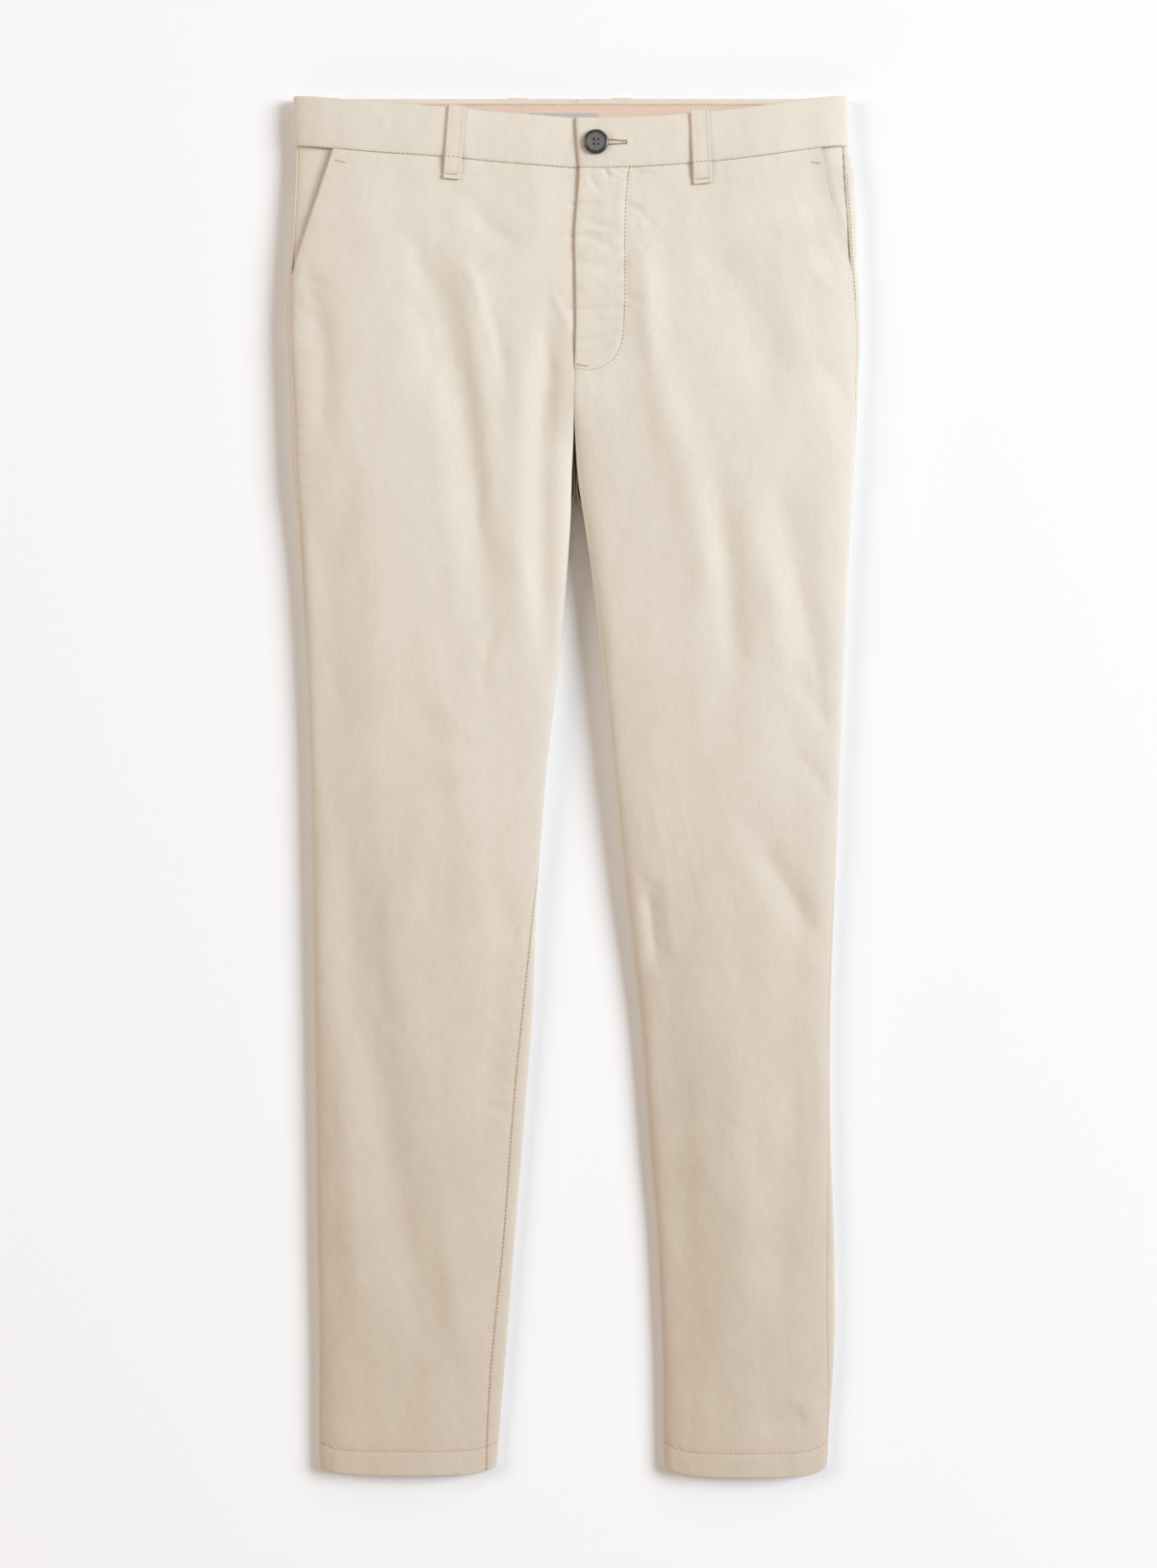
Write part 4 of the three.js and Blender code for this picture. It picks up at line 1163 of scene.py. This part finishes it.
# %% Front loops
LOOP_WALL = 1.4
LOOP_LIFT = 2.2
LOOP_SLACK = 0.7
LOOP_BELOW_SEAM = 17
LOOP_ABOVE_BAND = 1
LOOP_EDGE, LOOP_EDGE_AT = 0.09, 0.42
LOOP_GROOVE, LOOP_GROOVE_AT = 0.08, 0.3
LOOP_FOLD_HALF = 0.06
TACK_ABOVE_FOOT = 3.2
TACK_PULL, TACK_PULL_HALF = 0.5, 1.3
FOOT_PUFF = 0.15, 1.5
LOOP_TOP, LOOP_FOOT = BAND_TOP_Y + LOOP_ABOVE_BAND, WAIST_SEAM_Y - LOOP_BELOW_SEAM
FRONT_LOOPS = ((RIGHT, -88.5, -92.5, 12), (LEFT, 96, 98.5, 13))


def loop_rise(u, above_foot):
    """Folded edges, the pull of the bar tack and the puffed fold below it."""
    aside = np.abs(u)
    folds = LOOP_EDGE * bell(aside - LOOP_EDGE_AT, LOOP_FOLD_HALF)
    folds = folds - LOOP_GROOVE * bell(aside - LOOP_GROOVE_AT, LOOP_FOLD_HALF)
    tack = TACK_PULL * bell(above_foot - TACK_ABOVE_FOOT, TACK_PULL_HALF)
    return folds - tack + fade(above_foot, *FOOT_PUFF)


def front_loop_points(leg, x_top, x_foot, width, u, y):
    """A front loop's outside, which stands off the band between its ends."""
    s = (y - LOOP_FOOT) / (LOOP_TOP - LOOP_FOOT)
    points = creased(leg, skin(leg, p_at(leg, lerp(x_foot, x_top, s) + u * width, y), y), y)
    points[..., 2] += LOOP_LIFT + LOOP_SLACK * np.sin(math.pi * s) + loop_rise(u, y - LOOP_FOOT)
    return points


def loop_grid(columns, rows):
    """Places across a loop, from -0.5 to 0.5, and heights up it."""
    return np.meshgrid(np.linspace(-0.5, 0.5, columns), np.linspace(LOOP_FOOT, LOOP_TOP, rows))


for leg, x_top, x_foot, width in FRONT_LOOPS:
    u, y = loop_grid(columns=25, rows=90)
    outer = front_loop_points(leg, x_top, x_foot, width, u, y)
    add_piece(f"belt_loop_front_{leg.name}", outer, y, LOOP_WALL, 1, CREAM)

# %% Back loops
BACK_LOOPS = {"side_right": -187, "centre_right": -42.5, "centre_left": 37.5, "side_left": 188}
BACK_LOOP_WIDTH = 13
BACK_LOOP_PRESSED = 0.6

u, y = loop_grid(columns=17, rows=60)
z = -np.minimum(loop_rise(u, y - LOOP_FOOT), 0) * BACK_LOOP_PRESSED
for side, x in BACK_LOOPS.items():
    outer = np.stack([x + u * BACK_LOOP_WIDTH, y, z], axis=-1)
    add_piece(f"belt_loop_back_{side}", outer, y, LOOP_WALL, -1, CREAM)
print("pieces:", len(pieces))

# %% [markdown]
# ## The button
# The button is turned from horn, or from polyester cast to look like it: grey, with soft cloudy streaks, a dark
# rim and a paler dish. The imported CAD button has the right shape, so it stays, and gets the finish. Dark thread
# holds it, on a short shank, and near-black plugs of it fill the four holes: partly thread, partly painted shade.

# %% Horn, thread and the zip's tape
HORN_STREAK = 0.006
HORN_STRETCH, HORN_TURN = (1, 0.3, 1), 0.7
HORN_SCRATCH = 0.0001
DISH_COLORS, RIM_COLORS = ("#5a5958", "#7f7e7c"), ("#2b2a2a", "#474645")
RIM_SHARE = (0.68, 0.8)
PLY_DEPTH = 0.00008

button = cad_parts["waist_button"]
button_low, button_high = (np.array(corner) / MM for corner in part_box("waist_button"))
button_x, button_y, button_z = (button_low + button_high) / 2
button_radius = (button_high[0] - button_low[0]) / 2 * MM
button_centre = button.matrix_world.inverted() @ (Vector((button_x, button_y, button_z)) * MM)

HORN, tree = empty_material("polished grey horn")
place = node(tree, "ShaderNodeTexCoord").outputs["Object"]
distance = {0: place, 1: button_centre}
from_centre = node(tree, "ShaderNodeVectorMath", distance, operation="DISTANCE").outputs["Value"]
on_rim = ramp(tree, from_centre, *(share * button_radius for share in RIM_SHARE))
streaks = noise(tree, mapped(tree, place, HORN_STRETCH, HORN_TURN), 1 / HORN_STREAK, 5.0, 1.5)
clouded = ramp(tree, streaks, 0.2, 0.8, "LINEAR")
dish, rim = (mixed(tree, clouded, *colors) for colors in (DISH_COLORS, RIM_COLORS))
scratched = bump(tree, streaks, 0.2, HORN_SCRATCH)
finished(tree, Base_Color=mixed(tree, on_rim, dish, rim), Roughness=0.3, IOR=1.54, Normal=scratched)


def thread(name, pale, deep, twist):
    """A spun thread, whose plies turn round it a twist apart."""
    made, tree = empty_material(name)
    place = node(tree, "ShaderNodeTexCoord").outputs["Object"]
    spun = {"Vector": place, "Scale": WAVE_TURN / twist, "Distortion": 2.0}
    plies = node(tree, "ShaderNodeTexWave", spun, bands_direction="DIAGONAL").outputs["Fac"]
    raised = bump(tree, plies, 0.4, PLY_DEPTH)
    color = mixed(tree, plies, deep, pale)
    finished(tree, Base_Color=color, Roughness=0.65, IOR=1.5, Sheen_Weight=0.15, Normal=raised)
    return made


TWIST, TAPE_TWIST = 0.0004, 0.0012
PALE_THREAD = thread("pale tan spun polyester thread", "#e4d4be", "#d0ba9f", TWIST)
BROWN_THREAD = thread("brown spun polyester thread", "#ab8460", "#846040", TWIST)
TAN_THREAD = thread("tan spun polyester thread", "#c5a482", "#a07c58", TWIST)
# Near black, partly thread and partly painted shade in the button's holes.
DARK_THREAD_AND_HOLE_SHADE = thread("dark grey spun thread", "#1c1b1b", "#0d0d0d", TWIST)
ZIP_TAPE = thread("pale woven zip tape", "#d8cfc0", "#c3b8a6", TAPE_TWIST)
print("materials:", len(bpy.data.materials))

# %% The button's thread
HOLE_OFFSET = 1.75
HOLE_THREAD_RADII = 1.05 * np.array([0.8, 0.9, 1, 0.9])
SHANK_BELOW = (-1.2, -0.9, -0.5, -0.15)
SHANK_RADII = 1.9 * np.array([0.9, 1.1, 1.0, 1.25])
DISH_DEPTH = 0.6
TUBE_SIDES, SHANK_SIDES = 12, 20


def tube(path, radii, sides=TUBE_SIDES):
    """Rings of points round an upright path, with their faces and round ends."""
    turns = np.arange(sides) * 2 * math.pi / sides
    points = np.concatenate(
        [np.stack([x + r * np.cos(turns), y + r * np.sin(turns), np.full(sides, z)], axis=-1)
         for (x, y, z), r in zip(path, radii)]
    )
    faces = []
    for ring in range(len(path) - 1):
        for k in range(sides):
            a, b = ring * sides + k, ring * sides + (k + 1) % sides
            faces.append((a, b, b + sides, a + sides))
    last = (len(path) - 1) * sides
    faces += [tuple(range(sides))[::-1], tuple(last + k for k in range(sides))]
    return points, faces


def merged(parts):
    """Several sets of points and faces as one."""
    points, faces, start = [], [], 0
    for part_points, part_faces in parts:
        points.append(part_points)
        faces += [tuple(i + start for i in face) for face in part_faces]
        start += len(part_points)
    return np.concatenate(points), faces


floor_of_dish = button_low[2] + DISH_DEPTH * (button_high[2] - button_low[2])
# Painted shade in part: near-black thread plugs fill each hole up to just below the dish floor.
heights = button_low[2] - 0.6, button_low[2] + 0.3, floor_of_dish - 0.2, floor_of_dish
parts = []
for sx, sy in ((-1, -1), (1, -1), (1, 1), (-1, 1)):
    x, y = button_x + sx * HOLE_OFFSET, button_y + sy * HOLE_OFFSET
    parts.append(tube([(x, y, z) for z in heights], HOLE_THREAD_RADII))
shank = [(button_x, button_y, button_low[2] + z) for z in SHANK_BELOW]
parts.append(tube(shank, SHANK_RADII, SHANK_SIDES))
button_thread = mesh_object("button_thread", *merged(parts), DARK_THREAD_AND_HOLE_SHADE)
print("button centre:", round(button_x, 1), round(button_y, 1))

# %% [markdown]
# ## Stitches
# There are more than eight hundred stitches, all alike, so Geometry Nodes make them: the rows are plain lines
# of points, and the tree puts one small spindle of thread at each pitch along a line, turned along it. A bar
# tack and a buttonhole are the same thing with the spindles close together and turned across the line.


# %% The stitch tree
UNEVEN_LENGTHS = 0.88, 1.12


def stitch_tree():
    tree = bpy.data.node_groups.new("stitch rows", "GeometryNodeTree")
    face = tree.interface
    face.new_socket("Geometry", in_out="INPUT", socket_type="NodeSocketGeometry")
    for name in ("Pitch", "Length", "Width", "Turn"):
        face.new_socket(name, in_out="INPUT", socket_type="NodeSocketFloat")
    face.new_socket("Thread", in_out="INPUT", socket_type="NodeSocketMaterial")
    face.new_socket("Geometry", in_out="OUTPUT", socket_type="NodeSocketGeometry")
    given = node(tree, "NodeGroupInput").outputs
    lines = output(tree, "GeometryNodeMeshToCurve", {"Mesh": given["Geometry"]})
    upright = output(tree, "GeometryNodeSetCurveNormal", {"Curve": lines}, mode="Z_UP")
    spaced = {"Curve": upright, "Length": given["Pitch"]}
    spots = node(tree, "GeometryNodeCurveToPoints", spaced, mode="LENGTH").outputs
    spindle = output(tree, "GeometryNodeMeshUVSphere", {"Segments": 7, "Rings": 5, "Radius": 0.5})
    spread = {2: UNEVEN_LENGTHS[0], 3: UNEVEN_LENGTHS[1], "Seed": 3}
    uneven = node(tree, "FunctionNodeRandomValue", spread).outputs[1]
    long = output(tree, "ShaderNodeMath", {0: given["Length"], 1: uneven}, operation="MULTIPLY")
    size = output(tree, "ShaderNodeCombineXYZ", {"X": given["Width"], "Y": given["Width"], "Z": long})
    across = output(tree, "ShaderNodeCombineXYZ", {"Y": given["Turn"]})
    placing = {"Points": spots["Points"], "Instance": spindle, "Rotation": spots["Rotation"]}
    made = output(tree, "GeometryNodeInstanceOnPoints", placing)
    for kind, key, value in (("Rotate", "Rotation", across), ("Scale", "Scale", size)):
        made = output(tree, f"GeometryNode{kind}Instances", {"Instances": made, key: value, "Local Space": True})
    for kind in ("RealizeInstances", "SetShadeSmooth"):
        made = output(tree, f"GeometryNode{kind}", {0: made})
    dyed = output(tree, "GeometryNodeSetMaterial", {"Geometry": made, "Material": given["Thread"]})
    node(tree, "NodeGroupOutput", {0: dyed})
    return tree


STITCH_TREE = stitch_tree()
print("stitch tree:", len(STITCH_TREE.nodes), "nodes")


# %% Rows of stitches
def stitch_rows(name, rows, **inputs):
    """Stitches along rows of points in millimetres, as one plain mesh."""
    points, edges = [], []
    for row in rows:
        start = len(points)
        points += (np.asarray(row) * MM).tolist()
        edges += [(i, i + 1) for i in range(start, len(points) - 1)]
    mesh = bpy.data.meshes.new(name + " rows")
    mesh.from_pydata(points, edges, [])
    guide = bpy.data.objects.new(name + " rows", mesh)
    bpy.context.collection.objects.link(guide)
    modifier = guide.modifiers.new("stitches", "NODES")
    modifier.node_group = STITCH_TREE
    sockets = {s.name: s.identifier for s in STITCH_TREE.interface.items_tree if s.in_out == "INPUT"}
    for key_name, value in inputs.items():
        modifier[sockets[key_name]] = value
    bpy.context.view_layer.update()
    evaluated = guide.evaluated_get(bpy.context.evaluated_depsgraph_get())
    made = bpy.data.objects.new(name, bpy.data.meshes.new_from_object(evaluated))
    bpy.context.collection.objects.link(made)
    guide.modifiers.clear()
    bpy.data.objects.remove(guide)
    print(name, len(rows), "rows,", len(made.data.polygons), "faces")
    return made


# %% Where the rows lie
bpy.context.view_layer.update()
graph = bpy.context.evaluated_depsgraph_get()
TOP_SHELLS = ("front", "back", "waistband_r", "waistband_l", "belt_loop_front")
TOP_TREES = [BVHTree.FromObject(pieces[name], graph) for name in pieces if name.startswith(TOP_SHELLS)]
PROUD = 0.12


def on_cloth(row, from_z=100, down=-1):
    """A row of (x, y) laid onto the cloth, from above or below, in millimetres."""
    laid = []
    for x, y in row:
        hits = [t.ray_cast(Vector((x, y, from_z)) * MM, Vector((0, 0, down)))[0] for t in TOP_TREES]
        heights = [hit.z / MM for hit in hits if hit]
        if heights:
            laid.append((x, y, (max(heights) if down < 0 else min(heights)) - down * PROUD))
    return laid


def seam_row(leg, p, y):
    """(x, y) of a row, from its places on the skin."""
    return skin(leg, p, y)[..., :2]


def cross_row(leg, from_p, to_p, y):
    """(x, y) of a row across a leg at one height."""
    return seam_row(leg, np.linspace(from_p, to_p, 160), y)


# %% Long rows of stitches
STITCH = {"Pitch": 3.1 * MM, "Length": 2.2 * MM, "Width": 0.5 * MM, "Turn": 0.0, "Thread": TAN_THREAD}
HEM_ROW_Y = HEM_Y + HEM_DEPTH
INSEAM_ROW_TOP = -60
POCKET_ROW_ENDS = 466, 372

rows, seam_rows = [on_cloth(smooth_path(FLY_STITCHES))], []
for leg in LEGS:
    edge_p = side_seam(leg, WAIST_SEAM_Y) + 0.03
    seam_rows.append(on_cloth(cross_row(leg, edge_p, 0.998, WAIST_SEAM_Y)))
    rows.append(on_cloth(cross_row(leg, 0.03, 0.97, HEM_ROW_Y)))
    rows.append(on_cloth(cross_row(leg, -0.04, -0.96, HEM_ROW_Y), from_z=-50, down=1))
y = np.linspace(INSEAM_ROW_TOP, HEM_Y + 1, 300)
seam_rows.append(on_cloth(seam_row(RIGHT, along(RIGHT, inside_seam(RIGHT, y), y, 0.9), y)))
y = np.linspace(*POCKET_ROW_ENDS, 80)
rows.append(on_cloth(seam_row(LEFT, along(LEFT, side_seam(LEFT, y), y, -1.6), y)))
topstitches = stitch_rows("topstitching", rows, **STITCH)
seam_stitches = stitch_rows("seam_stitches", seam_rows, **{**STITCH, "Thread": BROWN_THREAD})

# %% [markdown]
# The lining strip inside the band is held by its own row, just below the band's top edge. The front of the
# band would stop a ray from above, so this row's height is given: it follows the strip's own gentle waves.

# %% Lining row
LINING_ROW_X, LINING_ROW_Y, LINING_ROW_Z = (-186, 184), 522.2, 5.9

lining = [(x, LINING_ROW_Y, LINING_ROW_Z + strip_wave(x)) for x in np.linspace(*LINING_ROW_X, 200)]
lining_stitches = stitch_rows("lining_stitches", [lining], **STITCH)

# %% [markdown]
# A bar tack is a few millimetres of stitches laid side by side, where a seam would otherwise tear: at each end
# of a pocket mouth, at the foot of a loop, and at the end of the fly. The buttonhole is worked the same way,
# along both lips of its slit and round the eye at its end.

# %% Bar tacks and the buttonhole
TACK = {**STITCH, "Pitch": 0.55 * MM, "Length": 1.4 * MM, "Turn": math.pi / 2, "Thread": PALE_THREAD}
EYE_X, EYE_Y = 39.6, 489.4
EYE_RADIUS = 1.4
EYE_OPENING = 0.75 * math.pi
LIP_ENDS = ((22, 2.3), (31, 1.6))
TACKS = (
    ((-181.5, 476.6), (-173.6, 474.4)),
    ((181.2, 474.9), (188.2, 474.2)),
    ((2.6, 319.6), (11.5, 318.2)),
)


def tack_row(start, end):
    """A short straight row, laid onto the cloth."""
    return on_cloth(np.linspace(start, end, 12))


rows = [tack_row(*ends) for ends in TACKS]
for leg, x_top, x_foot, width in FRONT_LOOPS:
    x = np.array([x_foot - 0.36 * width, x_foot + 0.36 * width])
    tack_y = np.full(2, LOOP_FOOT + TACK_ABOVE_FOOT)
    rows.append(tack_row(*seam_row(leg, p_at(leg, x, tack_y), tack_y)))
tacks = stitch_rows("bar_tacks", rows, **TACK)

turns = np.linspace(EYE_OPENING, -EYE_OPENING, 16)
eye = np.stack([EYE_X + EYE_RADIUS * np.cos(turns), EYE_Y + EYE_RADIUS * np.sin(turns)], axis=-1)
upper = [(x, EYE_Y + aside) for x, aside in LIP_ENDS]
lower = [(x, EYE_Y - aside) for x, aside in LIP_ENDS[::-1]]
lips = smooth_path(np.concatenate([upper, eye, lower]))
buttonhole = stitch_rows("buttonhole", [on_cloth(lips)], **{**TACK, "Thread": TAN_THREAD})

# %% [markdown]
# ## Close up
# Each shell takes the place of its CAD node, which stays for collision. Every shell is a sheet of cloth, so the
# size that it was cut to is given: what shows, all round where a panel wraps round a leg.

# %% What each shell replaces, and its cut
POCKET_FACING_CUT = (0.05, 0.121, 0.0035)
LOOP_CUT = (0.013, 0.056, None)
CUTS = {
    "front_right": (0.235, 1.028, 0.19),
    "front_left": (0.235, 1.028, 0.19),
    "back_right": (0.255, 1.028, 0.2),
    "back_left": (0.24, 1.028, 0.19),
    "waistband_right": (0.475, 0.038, None),
    "waistband_left": (0.445, 0.038, None),
    "waistband_facing": (0.374, 0.037, None),
    "blank_label": (0.0515, 0.024, None),
    "pocket_facing_right": POCKET_FACING_CUT,
    "pocket_facing_left": POCKET_FACING_CUT,
    "belt_loop_front_right": (0.012, 0.056, None),
}

for name, piece in pieces.items():
    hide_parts(name)
    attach(piece, "root")
    width, length, area = CUTS.get(name, LOOP_CUT)
    areas = [p.area for p in piece.data.polygons]
    print(name, "cloth area", round(sum(areas) / 2, 4), "cut", round(area or width * length, 4))
for piece in (topstitches, seam_stitches, lining_stitches, tacks, buttonhole, button_thread):
    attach(piece, "root")

for name, material in (("waist_button", HORN), ("fly_zip", ZIP_TAPE)):
    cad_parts[name].data.materials.clear()
    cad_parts[name].data.materials.append(material)
